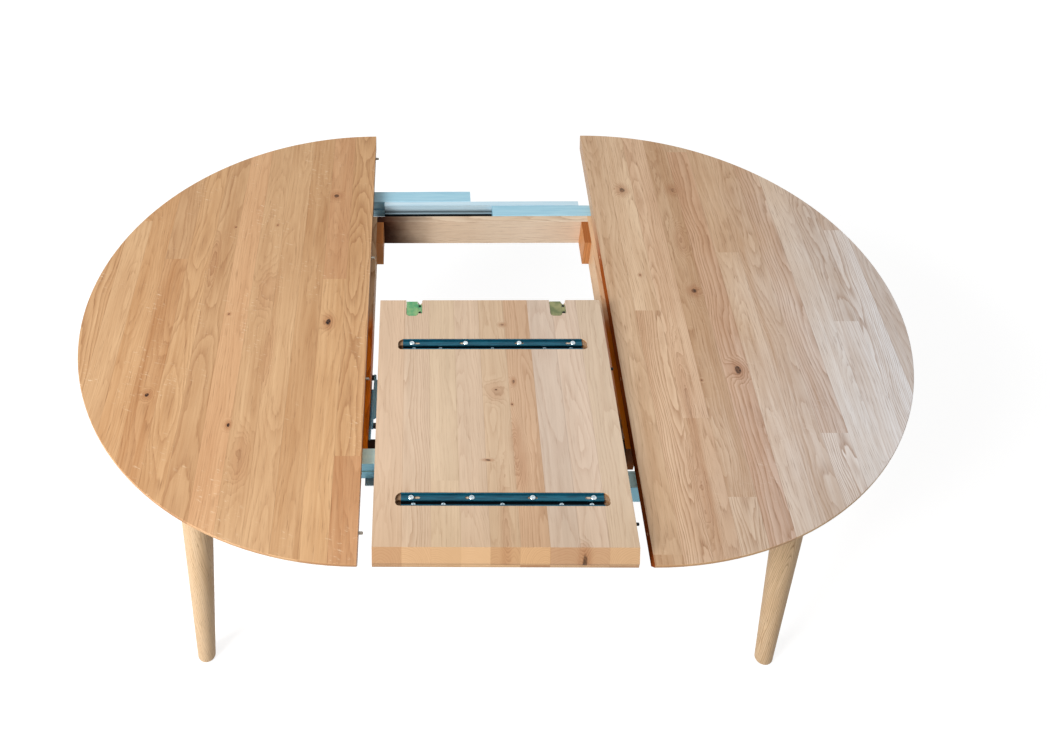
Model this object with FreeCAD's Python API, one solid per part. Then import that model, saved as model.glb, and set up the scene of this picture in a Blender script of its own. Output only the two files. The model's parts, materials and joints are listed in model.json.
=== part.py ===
import FreeCAD, Part
import os

# Draw leaf table, in millimetres, in the pose where it stands drawn open with its folded leaf in the gap.
# X runs along the draw (left half at -X), Y from the near side to the far side, Z up from the floor.
# The origin is on the floor under the centre of the table.

V = FreeCAD.Vector
os.makedirs("parts", exist_ok=True)

# Table
table_diameter = 1200.0  # the closed, round table
table_height = 750.0
board_thickness = 30.0
half_gap = 26.5  # each half clear of the leaf's edge when drawn out
undercut_width = 17.0  # the edge slopes in under the board by this much
edge_face = 6.0  # upright face left above the slope
edge_round = 1.5
over = 1.0  # how far a cutting piece runs past the face that it cuts
same_place = 0.01  # places nearer than this are the same

# Folding leaf
leaf_width = 455.0
leaf_rest_gap = 0.3  # leaf above the runners that it lies on
leaf_face_gap = 0.2  # each show face to the plane where the two layers meet

# Locating pins and their bores
pin_radius = 3.0
pin_reach = 8.0
pin_seat = 12.0
pin_inner_y = 175.0
pin_end_inset = 72.0  # outer pins in from the end of the leaf
pin_chamfer = 1.0
bore_clearance = 0.4
bore_extra_depth = 2.0

# Centre frame
frame_depth_spare = 2.0  # frame deeper than the lowered leaf needs
frame_top_gap = 2.0  # frame below the boards that slide over it
apron_thickness = 20.0
apron_end_gap = 13.0  # apron clear of the folded leaf's end when it lies in the middle
cross_rail_side_gap = 17.5  # room for the arms beside the leaf
cross_rail_thickness = 22.0
corner_block_length = 72.0
corner_block_gap = 2.0  # block clear of the leaf's edge
frame_screw_radius = 2.5
frame_screw_head = 5.0
frame_screw_length = 55.0
frame_screw_inset = 18.0

# Runners
runner_overrun = 3.0  # middle runner longer than the leaf is wide
runner_leg_gap = 42.6  # sliding runner's outer end clear of the leg's plate
runner_height = 48.0
runner_outer_width = 37.0
runner_wall = 2.5
runner_edge_round = 2.0
runner_gap = 0.3
web_width = 14.0
web_wall = 3.0
tongue_reach = 6.0
tongue_height = 4.0
tongue_gap = 0.4
tongue_side_wall = 9.0
middle_flange = 3.2
middle_lip_drop = 14.0
middle_tray_overrun = 5.0  # tray past the cross rail's inner face
middle_lip_thickness = 3.0
inner_lane_gap = 0.5  # inner runner clear of the apron
inner_lane_width = 36.0
runner_screw_first = 20.0
runner_screw_end = 29.0  # last screw in from the runner's outer end
runner_screw_count = 3
middle_screw_span = 360.0
middle_screw_count = 4
small_screw_radius = 2.0
small_screw_head = 4.0
small_screw_head_height = 2.5
small_screw_bite = 15.0

# Legs
leg_inset_x = 212.0  # foot centre in from the rim, along each centre line of the closed table
leg_inset_y = 208.0
leg_splay = 60.0 / 700.0
leg_foot_radius = 20.0
leg_taper = 16.0 / 700.0
leg_foot_round = 5.0
glide_thickness = 3.0
glide_radius = 13.0
plate_thickness = 4.0
plate_width = 110.0
plate_corner = 10.0
plate_screw_offset = 43.0
plate_screw_radius = 2.5
plate_screw_head = 4.8
plate_screw_bite = 18.0
hanger_radius = 4.0
hanger_length = 56.0

# Stiffening channels let into the undersides
channel_width = 27.0
channel_depth = 13.0
channel_wall = 2.0
channel_flush = 0.2
channel_slot_gap = 0.5
leaf_channel_side_inset = 48.5  # channel ends in from the leaf's edges
leaf_channel_end_inset = 113.0  # near channel in from the leaf's end
leaf_channel_far_y = 122.0  # far channel from the fold line
top_channel_rim_inset = 100.0  # channel end in from the rim on the centre line
top_channel_start = 60.0
top_channel_y = 180.0
channel_screw_inset = 18.0
channel_screw_count = 4
channel_screw_bite = 10.0
channel_screw_head = 4.5
channel_seat_depth = 3.5  # raised seat for the slotted screws, along the far flange
channel_seat_width = 12.0
channel_hole_radius = 2.75
channel_hole_length = 18.0  # slotted holes let the board swell and shrink
channel_hole_shifts = (7.0, -3.0, 0.0, -6.0)  # middle of each slotted hole from its screw
channel_floor_inset = 22.0  # screws of the channel's floor: two near each end, and one in the middle
channel_floor_pitch = 53.0
channel_slot_end = 10.0

# Concealed hinges at the fold
hinge_left_inset = 66.5  # each cup's middle in from its edge of the leaf
hinge_right_inset = 92.5
hinge_cup_width = 23.0
hinge_cup_length = 40.5
hinge_cup_depth = 22.0
hinge_cup_setback = 3.5
hinge_cup_corner = 7.0
hinge_cup_shell = 2.0
hinge_cup_sink = 0.5  # cup's face below the underside
hinge_flange_width = 8.5
hinge_flange_thickness = 2.5
hinge_flange_drop = 1.5  # flange's face below the cup's
hinge_flange_corner = 4.0
hinge_relief_width = 10.5  # V cut in the fold edge beside each cup
hinge_relief_length = 10.0
hinge_notch_gap = 0.6
hinge_screw_radius = 1.8
hinge_screw_head = 2.8
hinge_screw_y = 15.5
hinge_screw_pitch = 18.0
hinge_screw_bite = 12.0
hinge_screw_head_height = 1.5

# Swing arms that carry the leaf out of the frame
leaf_stow_gap = 5.0  # lowered leaf under the closed boards
leaf_pivot_inset = 13.0  # leaf pivot in from the front apron
leaf_pivot_drop = 26.5  # leaf pivot under the boards
arm_spacing = 40.0
arm_thickness = 3.0
arm_half_width = 7.0
arm_side_gap = 0.5
arm_plane_gap = 1.0
stud_radius = 4.0
stud_clearance = 0.05
stud_seat = 15.0
stud_tip = 0.2
leaf_stud_tip = 0.1
stud_head = 6.0
stud_head_height = 1.1
collar_radius = 6.0
collar_gap = 0.3
bracket_thickness = 3.0
bracket_inset = 1.0  # bracket's upright back from the leaf's edge
bracket_length = 62.0
bracket_width = 30.0
bracket_drop = 34.0
bracket_end = 11.0
bracket_screw_inset = 10.0
bracket_screw_count = 3
bracket_screw_bite = 12.0

# Worked out from the sizes above
radius = table_diameter / 2
leaf_half = leaf_width / 2
half_opening = leaf_half + half_gap
board_bottom = table_height - board_thickness
frame_top = board_bottom - frame_top_gap
leaf_drop = 2 * board_thickness + leaf_stow_gap
leaf_travel = radius / 2  # carries the folded leaf to the middle
frame_bottom = frame_top - leaf_drop - frame_depth_spare
cross_rail_inner_x = leaf_half + cross_rail_side_gap
cross_rail_outer_x = cross_rail_inner_x + cross_rail_thickness
apron_inner_y = radius / 2 + apron_end_gap
apron_outer_y = apron_inner_y + apron_thickness
leaf_bottom = board_bottom + leaf_rest_gap
leaf_top = table_height - leaf_face_gap
pin_z = table_height - board_thickness / 2
pin_outer_y = radius - pin_end_inset
bore_radius = pin_radius + bore_clearance
bore_depth = pin_reach + bore_extra_depth
undercut_top = table_height - edge_face
runner_half = (leaf_width + runner_overrun) / 2
runner_bottom = board_bottom - runner_height
runner_middle_z = board_bottom - runner_height / 2
inner_lane_low = apron_outer_y + inner_lane_gap
inner_lane_high = inner_lane_low + inner_lane_width
web_low = inner_lane_high + runner_gap
web_high = web_low + web_width
outer_lane_low = web_high + runner_gap
outer_lane_high = outer_lane_low + runner_outer_width
plate_bottom = board_bottom - plate_thickness
leg_drift = leg_splay * plate_bottom  # how far a leg leans in from its foot to its plate
leg_foot_x = half_opening + radius - leg_inset_x
leg_foot_y = radius - leg_inset_y
leg_lean = V(leg_splay, leg_splay, 1.0).Length
runner_end_x = leg_foot_x - leg_drift - plate_width / 2 - runner_leg_gap
runner_screw_start_x = half_opening + runner_screw_first
runner_screw_run = runner_end_x - runner_screw_end - runner_screw_start_x
runner_screw_pitch = runner_screw_run / (runner_screw_count - 1)
hinge_flange_side = hinge_cup_width / 2 + hinge_flange_width
hinge_flange_z = leaf_bottom + hinge_cup_sink + hinge_flange_drop
top_channel_length = radius - top_channel_start - top_channel_rim_inset
leaf_pivot_y = leaf_pivot_inset - apron_inner_y
leaf_pivot_z = board_bottom - leaf_pivot_drop
frame_pivot_y = leaf_pivot_y + leaf_travel / 2
frame_pivot_z = leaf_pivot_z - leaf_drop / 2
outer_arm_high = cross_rail_inner_x - arm_side_gap
outer_arm_low = outer_arm_high - arm_thickness
inner_arm_high = outer_arm_low - arm_plane_gap
inner_arm_low = inner_arm_high - arm_thickness
bracket_face = leaf_half - bracket_inset


def box(x_range, y_range, z_range):
    lows = [min(r) for r in (x_range, y_range, z_range)]
    sizes = [max(r) - min(r) for r in (x_range, y_range, z_range)]
    return Part.makeBox(sizes[0], sizes[1], sizes[2], V(*lows))


def rod(start, end, rod_radius):
    run = V(*end) - V(*start)
    return Part.makeCylinder(rod_radius, run.Length, V(*start), run)


def flipped(shape):
    """The upper layer's copy of a piece, mirrored in the plane where the two layers' show faces meet."""
    return shape.mirror(V(0, 0, table_height), V(0, 0, 1))


def save(node, *shapes):
    shape = shapes[0] if len(shapes) == 1 else Part.makeCompound(list(shapes))
    shape.exportStep("parts/" + node + ".step")


def cut_all(shape, tools):
    return shape.cut(Part.makeCompound(tools)) if tools else shape


def screw(seat, direction, shank_radius, head_radius, head_height, shank_length):
    """A screw with its head's underside at seat, biting along direction."""
    way = V(*direction)
    way.normalize()
    start = V(*seat)
    shank = Part.makeCylinder(shank_radius, shank_length, start, way)
    head = Part.makeCylinder(head_radius, head_height, start, way * -1)
    return head.fuse(shank).removeSplitter()


def small_screw(seat, direction, shank_length):
    return screw(seat, direction, small_screw_radius, small_screw_head, small_screw_head_height, shank_length)


def hole(seat, direction, hole_radius, depth):
    """A drill of the given depth from seat, started a little outside the face."""
    way = V(*direction)
    way.normalize()
    return Part.makeCylinder(hole_radius, depth + over, V(*seat) - way * over, way)


def through_hole(seat, direction, hole_radius, thickness):
    return hole(seat, direction, hole_radius, thickness + over)


def spread(low, high, count):
    step = (high - low) / (count - 1)
    return [low + step * i for i in range(count)]


# Stiffening channels ---------------------------------------------------------------------------


def channel_far_y(middle_y):
    """Inner face of a channel's far flange."""
    return middle_y + channel_width / 2 - channel_wall


def channel_step_y(middle_y):
    """Near face of the step between a channel's raised seat and its floor."""
    return channel_far_y(middle_y) - channel_seat_width


def channel_seat_places(x_low, x_high, middle_y):
    xs = spread(x_low + channel_screw_inset, x_high - channel_screw_inset, channel_screw_count)
    return [(x, channel_far_y(middle_y) - channel_seat_width / 2) for x in xs]


def channel_floor_places(x_low, x_high, middle_y):
    near_y = middle_y - channel_width / 2 + channel_wall
    y = (near_y + channel_step_y(middle_y)) / 2
    first, last = x_low + channel_floor_inset, x_high - channel_floor_inset
    xs = (first, first + channel_floor_pitch, (first + last) / 2, last - channel_floor_pitch, last)
    return [(x, y) for x in xs]


def routed(x_range, y_range, face_z, depth):
    """A round-ended slot cut to the given depth above face_z."""
    end_radius = (y_range[1] - y_range[0]) / 2
    middle_y = (y_range[0] + y_range[1]) / 2
    low, high = x_range[0] + end_radius, x_range[1] - end_radius
    middle = box((low, high), y_range, (face_z - over, face_z + depth))
    ends = [rod((x, middle_y, face_z - over), (x, middle_y, face_z + depth), end_radius) for x in (low, high)]
    return [middle] + ends


def channel(x_low, x_high, middle_y, surface_z):
    """A steel channel let into a board's underside at surface_z, its open side down, with a raised seat."""
    half = channel_width / 2
    mouth = surface_z + channel_flush
    crown = surface_z + channel_depth
    seat_z = surface_z + channel_seat_depth
    far_y = channel_far_y(middle_y)
    step_y = channel_step_y(middle_y)
    outline = [
        (middle_y + half, mouth),
        (middle_y + half, seat_z + channel_wall),
        (step_y + channel_wall, seat_z + channel_wall),
        (step_y + channel_wall, crown),
        (middle_y - half, crown),
        (middle_y - half, mouth),
        (middle_y - half + channel_wall, mouth),
        (middle_y - half + channel_wall, crown - channel_wall),
        (step_y, crown - channel_wall),
        (step_y, seat_z),
        (far_y, seat_z),
        (far_y, mouth),
    ]
    corners = [V(x_low, y, z) for y, z in outline + outline[:1]]
    profile = Part.Face(Part.makePolygon(corners)).extrude(V(x_high - x_low, 0, 0))
    tools = []
    for place, shift in zip(channel_seat_places(x_low, x_high, middle_y), channel_hole_shifts):
        x, y = place
        x_range = (x + shift - channel_hole_length / 2, x + shift + channel_hole_length / 2)
        y_range = (y - channel_hole_radius, y + channel_hole_radius)
        tools += routed(x_range, y_range, seat_z, channel_wall + over)
    for x, y in channel_floor_places(x_low, x_high, middle_y):
        seat = (x, y, crown - channel_wall)
        tools.append(through_hole(seat, (0, 0, 1), small_screw_radius, channel_wall))
    return cut_all(profile, tools)


def channel_screws(x_low, x_high, middle_y, surface_z):
    seat_z = surface_z + channel_seat_depth
    floor_z = surface_z + channel_depth - channel_wall
    seats = [(x, y, seat_z) for x, y in channel_seat_places(x_low, x_high, middle_y)]
    seats += [(x, y, floor_z) for x, y in channel_floor_places(x_low, x_high, middle_y)]
    bite = channel_wall + channel_screw_bite
    sizes = (small_screw_radius, channel_screw_head, small_screw_head_height, bite)
    return [screw(seat, (0, 0, 1), *sizes) for seat in seats]


def channel_slot(x_low, x_high, middle_y, surface_z):
    """The stepped, round-ended slot routed for a channel, with its screws' pilot holes."""
    half = channel_width / 2 + channel_slot_gap
    seat_under = channel_seat_depth + channel_wall
    crown = surface_z + channel_depth
    x_range = (x_low - channel_slot_end, x_high + channel_slot_end)
    deep_y = (middle_y - half, channel_step_y(middle_y) + channel_wall + channel_slot_gap)
    tools = routed(x_range, (middle_y - half, middle_y + half), surface_z, seat_under)
    tools += routed(x_range, deep_y, surface_z, channel_depth)
    for x, y in channel_seat_places(x_low, x_high, middle_y):
        tools.append(hole((x, y, surface_z + seat_under), (0, 0, 1), small_screw_radius, channel_screw_bite))
    for x, y in channel_floor_places(x_low, x_high, middle_y):
        tools.append(hole((x, y, crown), (0, 0, 1), small_screw_radius, channel_screw_bite))
    return tools


# Table halves ----------------------------------------------------------------------------------


def half_channels(side):
    start = half_opening + top_channel_start
    ends = sorted((side * start, side * (start + top_channel_length)))
    return [(ends[0], ends[1], y) for y in (-top_channel_y, top_channel_y)]


def runner_screw_places(side):
    """Screws of one half's two runners: the outer lane on one side of the table, the inner on the other."""
    outer_y = (outer_lane_low + tongue_side_wall + outer_lane_high - runner_wall) / 2
    inner_y = (inner_lane_low + runner_wall + inner_lane_high - tongue_side_wall) / 2
    places = []
    for i in range(runner_screw_count):
        x = side * (runner_screw_start_x + runner_screw_pitch * i)
        places.append((x, -side * outer_y))
        places.append((x, side * inner_y))
    return places


def plate_centre(side, row):
    """Where a leg's axis meets its plate."""
    return side * (leg_foot_x - leg_drift), row * (leg_foot_y - leg_drift)


def plate_screw_places(side, row):
    x, y = plate_centre(side, row)
    reach = plate_screw_offset
    return [(x + dx, y + dy) for dx in (-reach, reach) for dy in (-reach, reach)]


def pin_rows(y_values):
    return [sign * y for y in y_values for sign in (-1, 1)]


def half_board(side):
    """Half of the round top, its curved edge sloping in underneath."""
    centre = V(side * half_opening, 0, 0)
    rim = Part.makeCylinder(radius, edge_face, centre + V(0, 0, undercut_top))
    slope_height = undercut_top - board_bottom
    slope = Part.makeCone(radius - undercut_width, radius, slope_height, centre + V(0, 0, board_bottom))
    disc = rim.fuse(slope).removeSplitter()
    top_edges = [e for e in disc.Edges if e.BoundBox.ZMin > table_height - same_place]
    disc = disc.makeFillet(edge_round, top_edges)
    keep_x = (side * half_opening, side * (half_opening + radius + over))
    keep_y = (-radius - over, radius + over)
    board = disc.common(box(keep_x, keep_y, (board_bottom - over, table_height + over)))
    tools = []
    for x_low, x_high, y in half_channels(side):
        tools += channel_slot(x_low, x_high, y, board_bottom)
    for x, y in runner_screw_places(side):
        tools.append(hole((x, y, board_bottom), (0, 0, 1), small_screw_radius, small_screw_bite))
    for row in (-1, 1):
        for x, y in plate_screw_places(side, row):
            tools.append(hole((x, y, board_bottom), (0, 0, 1), plate_screw_radius, plate_screw_bite))
    deep, wide = (pin_seat, pin_radius) if side < 0 else (bore_depth, bore_radius)
    for y in pin_rows((pin_inner_y, pin_outer_y)):
        tools.append(hole((side * half_opening, y, pin_z), (side, 0, 0), wide, deep))
    return cut_all(board, tools)


def leg(side, row):
    """A round leg that leans out to its foot and tapers down to it."""
    spare = 40.0
    foot = V(side * leg_foot_x, row * leg_foot_y, 0)
    way = V(-side * leg_splay, -row * leg_splay, 1.0)
    start = foot - way * spare
    tall = table_height + 2 * spare
    low_radius = leg_foot_radius - leg_taper * spare
    high_radius = low_radius + leg_taper * tall
    cone = Part.makeCone(low_radius, high_radius, tall * leg_lean, start, way)
    wide = leg_splay * table_height + radius
    slab_z = (glide_thickness, plate_bottom)
    post = cone.common(box((foot.x - wide, foot.x + wide), (foot.y - wide, foot.y + wide), slab_z))
    foot_edges = [e for e in post.Edges if e.BoundBox.ZMax < glide_thickness + same_place]
    post = post.makeFillet(leg_foot_round, foot_edges)
    return post.cut(hanger(side, row))


def hanger(side, row):
    """The bolt that holds a leg to its plate, along the leg's axis."""
    foot = V(side * leg_foot_x, row * leg_foot_y, 0)
    way = V(-side * leg_splay, -row * leg_splay, 1.0)
    low = foot + way * (plate_bottom - hanger_length)
    bolt = Part.makeCylinder(hanger_radius, (hanger_length + 2 * plate_thickness) * leg_lean, low, way)
    keep = box((low.x - radius, low.x + radius), (low.y - radius, low.y + radius), (0, board_bottom))
    return bolt.common(keep)


def leg_plate(side, row):
    x, y = plate_centre(side, row)
    half = plate_width / 2
    plate = box((x - half, x + half), (y - half, y + half), (plate_bottom, board_bottom))
    upright = [e for e in plate.Edges if abs(e.BoundBox.ZLength - plate_thickness) < same_place]
    plate = plate.makeFillet(plate_corner, upright)
    tools = [hanger(side, row)]
    for sx, sy in plate_screw_places(side, row):
        tools.append(through_hole((sx, sy, plate_bottom), (0, 0, 1), plate_screw_radius, plate_thickness))
    return cut_all(plate, tools)


def plate_screws(side):
    made = []
    bite = plate_thickness + plate_screw_bite
    for row in (-1, 1):
        for x, y in plate_screw_places(side, row):
            sizes = (plate_screw_radius, plate_screw_head, small_screw_head_height, bite)
            made.append(screw((x, y, plate_bottom), (0, 0, 1), *sizes))
    return made


def foot_glide(side, row):
    foot_x = side * (leg_foot_x - leg_splay * glide_thickness)
    foot_y = row * (leg_foot_y - leg_splay * glide_thickness)
    return rod((foot_x, foot_y, 0), (foot_x, foot_y, glide_thickness), glide_radius)


# Runners ---------------------------------------------------------------------------------------


def sliding_runner(side, row, web_face, far_face):
    """A hollow runner screwed under one half, with a groove that takes the middle runner's tongue."""
    away = 1 if far_face > web_face else -1
    x_range = sorted((side * (half_opening - runner_half), side * runner_end_x))
    longer = (x_range[0] - over, x_range[1] + over)
    bar = box(x_range, (row * web_face, row * far_face), (runner_bottom, board_bottom))
    long_edges = [e for e in bar.Edges if e.BoundBox.XLength > runner_half]
    bar = bar.makeFillet(runner_edge_round, long_edges)
    hollow_y = (row * (web_face + away * tongue_side_wall), row * (far_face - away * runner_wall))
    hollow = box(longer, hollow_y, (runner_bottom + runner_wall, board_bottom - runner_wall))
    groove_half = tongue_height / 2 + tongue_gap
    groove_depth = tongue_reach + tongue_gap - runner_gap
    groove_y = (row * (web_face - away * over), row * (web_face + away * groove_depth))
    groove = box(longer, groove_y, (runner_middle_z - groove_half, runner_middle_z + groove_half))
    tools = [hollow, groove]
    for x, y in runner_screw_places(side):
        if y * row > 0:
            seat = (x, y, board_bottom - runner_wall)
            tools.append(through_hole(seat, (0, 0, 1), small_screw_radius, runner_wall))
    return cut_all(bar, tools)


def runner_screws(side):
    bite = runner_wall + small_screw_bite
    seat_z = board_bottom - runner_wall
    return [small_screw((x, y, seat_z), (0, 0, 1), bite) for x, y in runner_screw_places(side)]


def middle_screw_places(row):
    lip_middle = runner_bottom - runner_gap - middle_flange - middle_lip_drop / 2
    xs = spread(-middle_screw_span / 2, middle_screw_span / 2, middle_screw_count)
    return [(x, row * (apron_outer_y + middle_lip_thickness), lip_middle) for x in xs]


def middle_runner(row):
    """The middle runner: a hollow web with a tongue on each side, a floor, and a lip screwed to the apron.
    Beside the frame the floor runs on as a tray, past the ends of the web."""
    x_range = (-runner_half, runner_half)
    longer = (-runner_half - over, runner_half + over)
    floor_top = runner_bottom - runner_gap
    floor_bottom = floor_top - middle_flange
    web_top = board_bottom - leaf_rest_gap
    web = box(x_range, (row * web_low, row * web_high), (floor_bottom, web_top))
    tongue_y = (row * (web_low - tongue_reach), row * (web_high + tongue_reach))
    tongue_z = (runner_middle_z - tongue_height / 2, runner_middle_z + tongue_height / 2)
    tongues = box(x_range, tongue_y, tongue_z)
    floor = box(x_range, (row * apron_outer_y, row * outer_lane_high), (floor_bottom, floor_top))
    tray_half = cross_rail_inner_x + middle_tray_overrun
    tray = box((-tray_half, tray_half), (row * apron_outer_y, row * web_high), (floor_bottom, floor_top))
    lip_y = (row * apron_outer_y, row * (apron_outer_y + middle_lip_thickness))
    lip = box(x_range, lip_y, (floor_bottom - middle_lip_drop, floor_top))
    whole = web.fuse([tongues, floor, tray, lip]).removeSplitter()
    void_y = (row * (web_low + web_wall), row * (web_high - web_wall))
    tools = [box(longer, void_y, (floor_top, web_top - web_wall))]
    for x, y, z in middle_screw_places(row):
        tools.append(through_hole((x, y, z), (0, -row, 0), small_screw_radius, middle_lip_thickness))
    return cut_all(whole, tools)


def middle_screws():
    made = []
    bite = middle_lip_thickness + small_screw_bite
    for row in (-1, 1):
        for place in middle_screw_places(row):
            made.append(small_screw(place, (0, -row, 0), bite))
    return made


# Centre frame ----------------------------------------------------------------------------------


def frame_screw_places():
    """Screws through the ends of the cross rails into the aprons."""
    apron_middle = apron_inner_y + apron_thickness / 2
    places = []
    for side in (-1, 1):
        for row in (-1, 1):
            for z in (frame_bottom + frame_screw_inset, frame_top - frame_screw_inset):
                places.append((side, side * cross_rail_outer_x, row * apron_middle, z))
    return places


def frame_screw_holes():
    sizes = (frame_screw_radius, frame_screw_length)
    return [hole((x, y, z), (-side, 0, 0), *sizes) for side, x, y, z in frame_screw_places()]


def frame_screws():
    sizes = (frame_screw_radius, frame_screw_head, small_screw_head_height, frame_screw_length)
    return [screw((x, y, z), (-side, 0, 0), *sizes) for side, x, y, z in frame_screw_places()]


def apron(row):
    x_range = (-cross_rail_inner_x, cross_rail_inner_x)
    bar = box(x_range, (row * apron_inner_y, row * apron_outer_y), (frame_bottom, frame_top))
    tools = frame_screw_holes()
    depth = middle_lip_thickness + small_screw_bite
    for place in middle_screw_places(row):
        tools.append(hole(place, (0, -row, 0), small_screw_radius, depth))
    return cut_all(bar, tools)


def stud_places(side):
    """Each frame stud's inner end, with its arm's pivot: the front arm runs in the outer plane."""
    front = (side * (outer_arm_low - stud_tip), frame_pivot_y)
    rear = (side * (inner_arm_low - stud_tip), frame_pivot_y + arm_spacing)
    return [front, rear]


def frame_stud(side, index):
    x, y = stud_places(side)[index]
    end_x = side * (cross_rail_inner_x + stud_seat)
    shaft = rod((x, y, frame_pivot_z), (end_x, y, frame_pivot_z), stud_radius)
    if index == 0:
        return shaft
    head = rod((x, y, frame_pivot_z), (x - side * stud_head_height, y, frame_pivot_z), stud_head)
    return shaft.fuse(head).removeSplitter()


def frame_collar(side):
    """A spacer that holds the rear arm off the cross rail."""
    y = frame_pivot_y + arm_spacing
    start = (side * (inner_arm_high + collar_gap), y, frame_pivot_z)
    end = (side * cross_rail_inner_x, y, frame_pivot_z)
    return rod(start, end, collar_radius).cut(rod(start, end, stud_radius))


def cross_rail(side):
    x_range = (side * cross_rail_inner_x, side * cross_rail_outer_x)
    bar = box(x_range, (-apron_outer_y, apron_outer_y), (frame_bottom, frame_top))
    tools = frame_screw_holes() + [frame_stud(side, 0), frame_stud(side, 1)]
    return cut_all(bar, tools)


def corner_block(side):
    x_range = (side * (leaf_half + corner_block_gap), side * cross_rail_inner_x)
    y_range = (apron_inner_y - corner_block_length, apron_inner_y)
    return box(x_range, y_range, (frame_bottom, frame_top))


# Swing arms and leaf brackets ------------------------------------------------------------------


def swing_arm(side, x_low, x_high, offset):
    """A flat bar with rounded ends from a frame pivot to a leaf pivot."""
    leaf_end = V(0, leaf_pivot_y + offset, leaf_pivot_z)
    frame_end = V(0, frame_pivot_y + offset, frame_pivot_z)
    run = leaf_end - frame_end
    up = V(0, -run.z, run.y)
    up.normalize()
    up = up * arm_half_width
    near = V(side * min(x_low, x_high), 0, 0)
    across = V(side * abs(x_high - x_low), 0, 0)
    corners = [near + p for p in (frame_end + up, leaf_end + up, leaf_end - up, frame_end - up)]
    bar = Part.Face(Part.makePolygon(corners + corners[:1])).extrude(across)
    tools = []
    for end in (leaf_end, frame_end):
        bar = bar.fuse(Part.makeCylinder(arm_half_width, across.Length, near + end, across))
        tools.append(Part.makeCylinder(stud_radius + stud_clearance, across.Length, near + end, across))
    return cut_all(bar.removeSplitter(), tools)


def bracket_y_range():
    low = leaf_pivot_y - bracket_end
    return low, low + bracket_length


def bracket_screw_places(side):
    low, high = bracket_y_range()
    x = side * (bracket_face - bracket_width + bracket_screw_inset)
    ys = spread(low + bracket_screw_inset, high - bracket_screw_inset, bracket_screw_count)
    return [(x, y, leaf_bottom - bracket_thickness) for y in ys]


def leaf_stud(side, index):
    far = outer_arm_high if index == 0 else inner_arm_high
    y = leaf_pivot_y + arm_spacing * index
    start = (side * (bracket_face - bracket_thickness), y, leaf_pivot_z)
    return rod(start, (side * (far - leaf_stud_tip), y, leaf_pivot_z), stud_radius)


def leaf_collar(side, index):
    far = outer_arm_low if index == 0 else inner_arm_low
    y = leaf_pivot_y + arm_spacing * index
    start = (side * bracket_face, y, leaf_pivot_z)
    end = (side * (far - collar_gap), y, leaf_pivot_z)
    return rod(start, end, collar_radius).cut(rod(start, end, stud_radius))


def leaf_bracket(side):
    """An angle under the leaf's edge that carries both leaf pivots."""
    low, high = bracket_y_range()
    underside = leaf_bottom
    flat_x = (side * (bracket_face - bracket_width), side * bracket_face)
    flat = box(flat_x, (low, high), (underside - bracket_thickness, underside))
    wall_x = (side * (bracket_face - bracket_thickness), side * bracket_face)
    wall = box(wall_x, (low, high), (underside - bracket_drop, underside))
    angle = flat.fuse(wall).removeSplitter()
    tools = [leaf_stud(side, 0), leaf_stud(side, 1)]
    for place in bracket_screw_places(side):
        tools.append(hole(place, (0, 0, 1), small_screw_radius, bracket_thickness))
    return cut_all(angle, tools)


def bracket_screws():
    bite = bracket_thickness + bracket_screw_bite
    return [small_screw(place, (0, 0, 1), bite) for side in (-1, 1) for place in bracket_screw_places(side)]


# Folding leaf ----------------------------------------------------------------------------------


def leaf_channels():
    reach = leaf_half - leaf_channel_side_inset
    return [(-reach, reach, -y) for y in (radius - leaf_channel_end_inset, leaf_channel_far_y)]


def back_corners(shape):
    """A block's two upright edges on the side away from the fold."""
    tall, back = shape.BoundBox.ZLength, shape.BoundBox.YMin
    upright = [e for e in shape.Edges if abs(e.BoundBox.ZLength - tall) < same_place]
    return [e for e in upright if e.BoundBox.YMax < back + same_place]


def hinge_cup(x):
    """The stamped cup of a concealed hinge, in a notch at the fold edge, open towards the fold."""
    half = hinge_cup_width / 2
    fold_side = -hinge_cup_setback
    back = fold_side - hinge_cup_length
    mouth = leaf_bottom + hinge_cup_sink
    crown = mouth + hinge_cup_depth
    outside = box((x - half, x + half), (back, fold_side), (mouth, crown))
    outside = outside.makeFillet(hinge_cup_corner, back_corners(outside))
    inner = half - hinge_cup_shell
    hollow_y = (back + hinge_cup_corner, fold_side + over)
    cup = outside.cut(box((x - inner, x + inner), hollow_y, (mouth + hinge_cup_shell, crown + over)))
    cup = cup.fuse(hinge_flange(x, -hinge_relief_length)).removeSplitter()
    tools = [through_hole(p, (0, 0, 1), hinge_screw_radius, hinge_flange_thickness) for p in hinge_places(x)]
    return cut_all(cup, tools)


def hinge_flange(x, fold_end):
    """The cup's flange on the +X side, its outer corners rounded."""
    back_end = hinge_cup_corner - hinge_cup_setback - hinge_cup_length
    flange_x = (x + hinge_cup_width / 2, x + hinge_flange_side)
    flange = box(flange_x, (back_end, fold_end), (hinge_flange_z, hinge_flange_z + hinge_flange_thickness))
    outer = [e for e in flange.Edges if e.BoundBox.XMin > x + hinge_flange_side - same_place]
    upright = [e for e in outer if e.BoundBox.YLength < same_place]
    return flange.makeFillet(hinge_flange_corner, upright)


def hinge_places(x):
    """Seats of the two screws in a hinge cup's flange."""
    screw_x = x + hinge_flange_side - hinge_flange_width / 2
    return [(screw_x, y, hinge_flange_z) for y in (-hinge_screw_y, -hinge_screw_y - hinge_screw_pitch)]


def hinge_screws(x):
    bite = hinge_flange_thickness + hinge_screw_bite
    sizes = (hinge_screw_radius, hinge_screw_head, hinge_screw_head_height, bite)
    return [screw(place, (0, 0, 1), *sizes) for place in hinge_places(x)]


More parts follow.
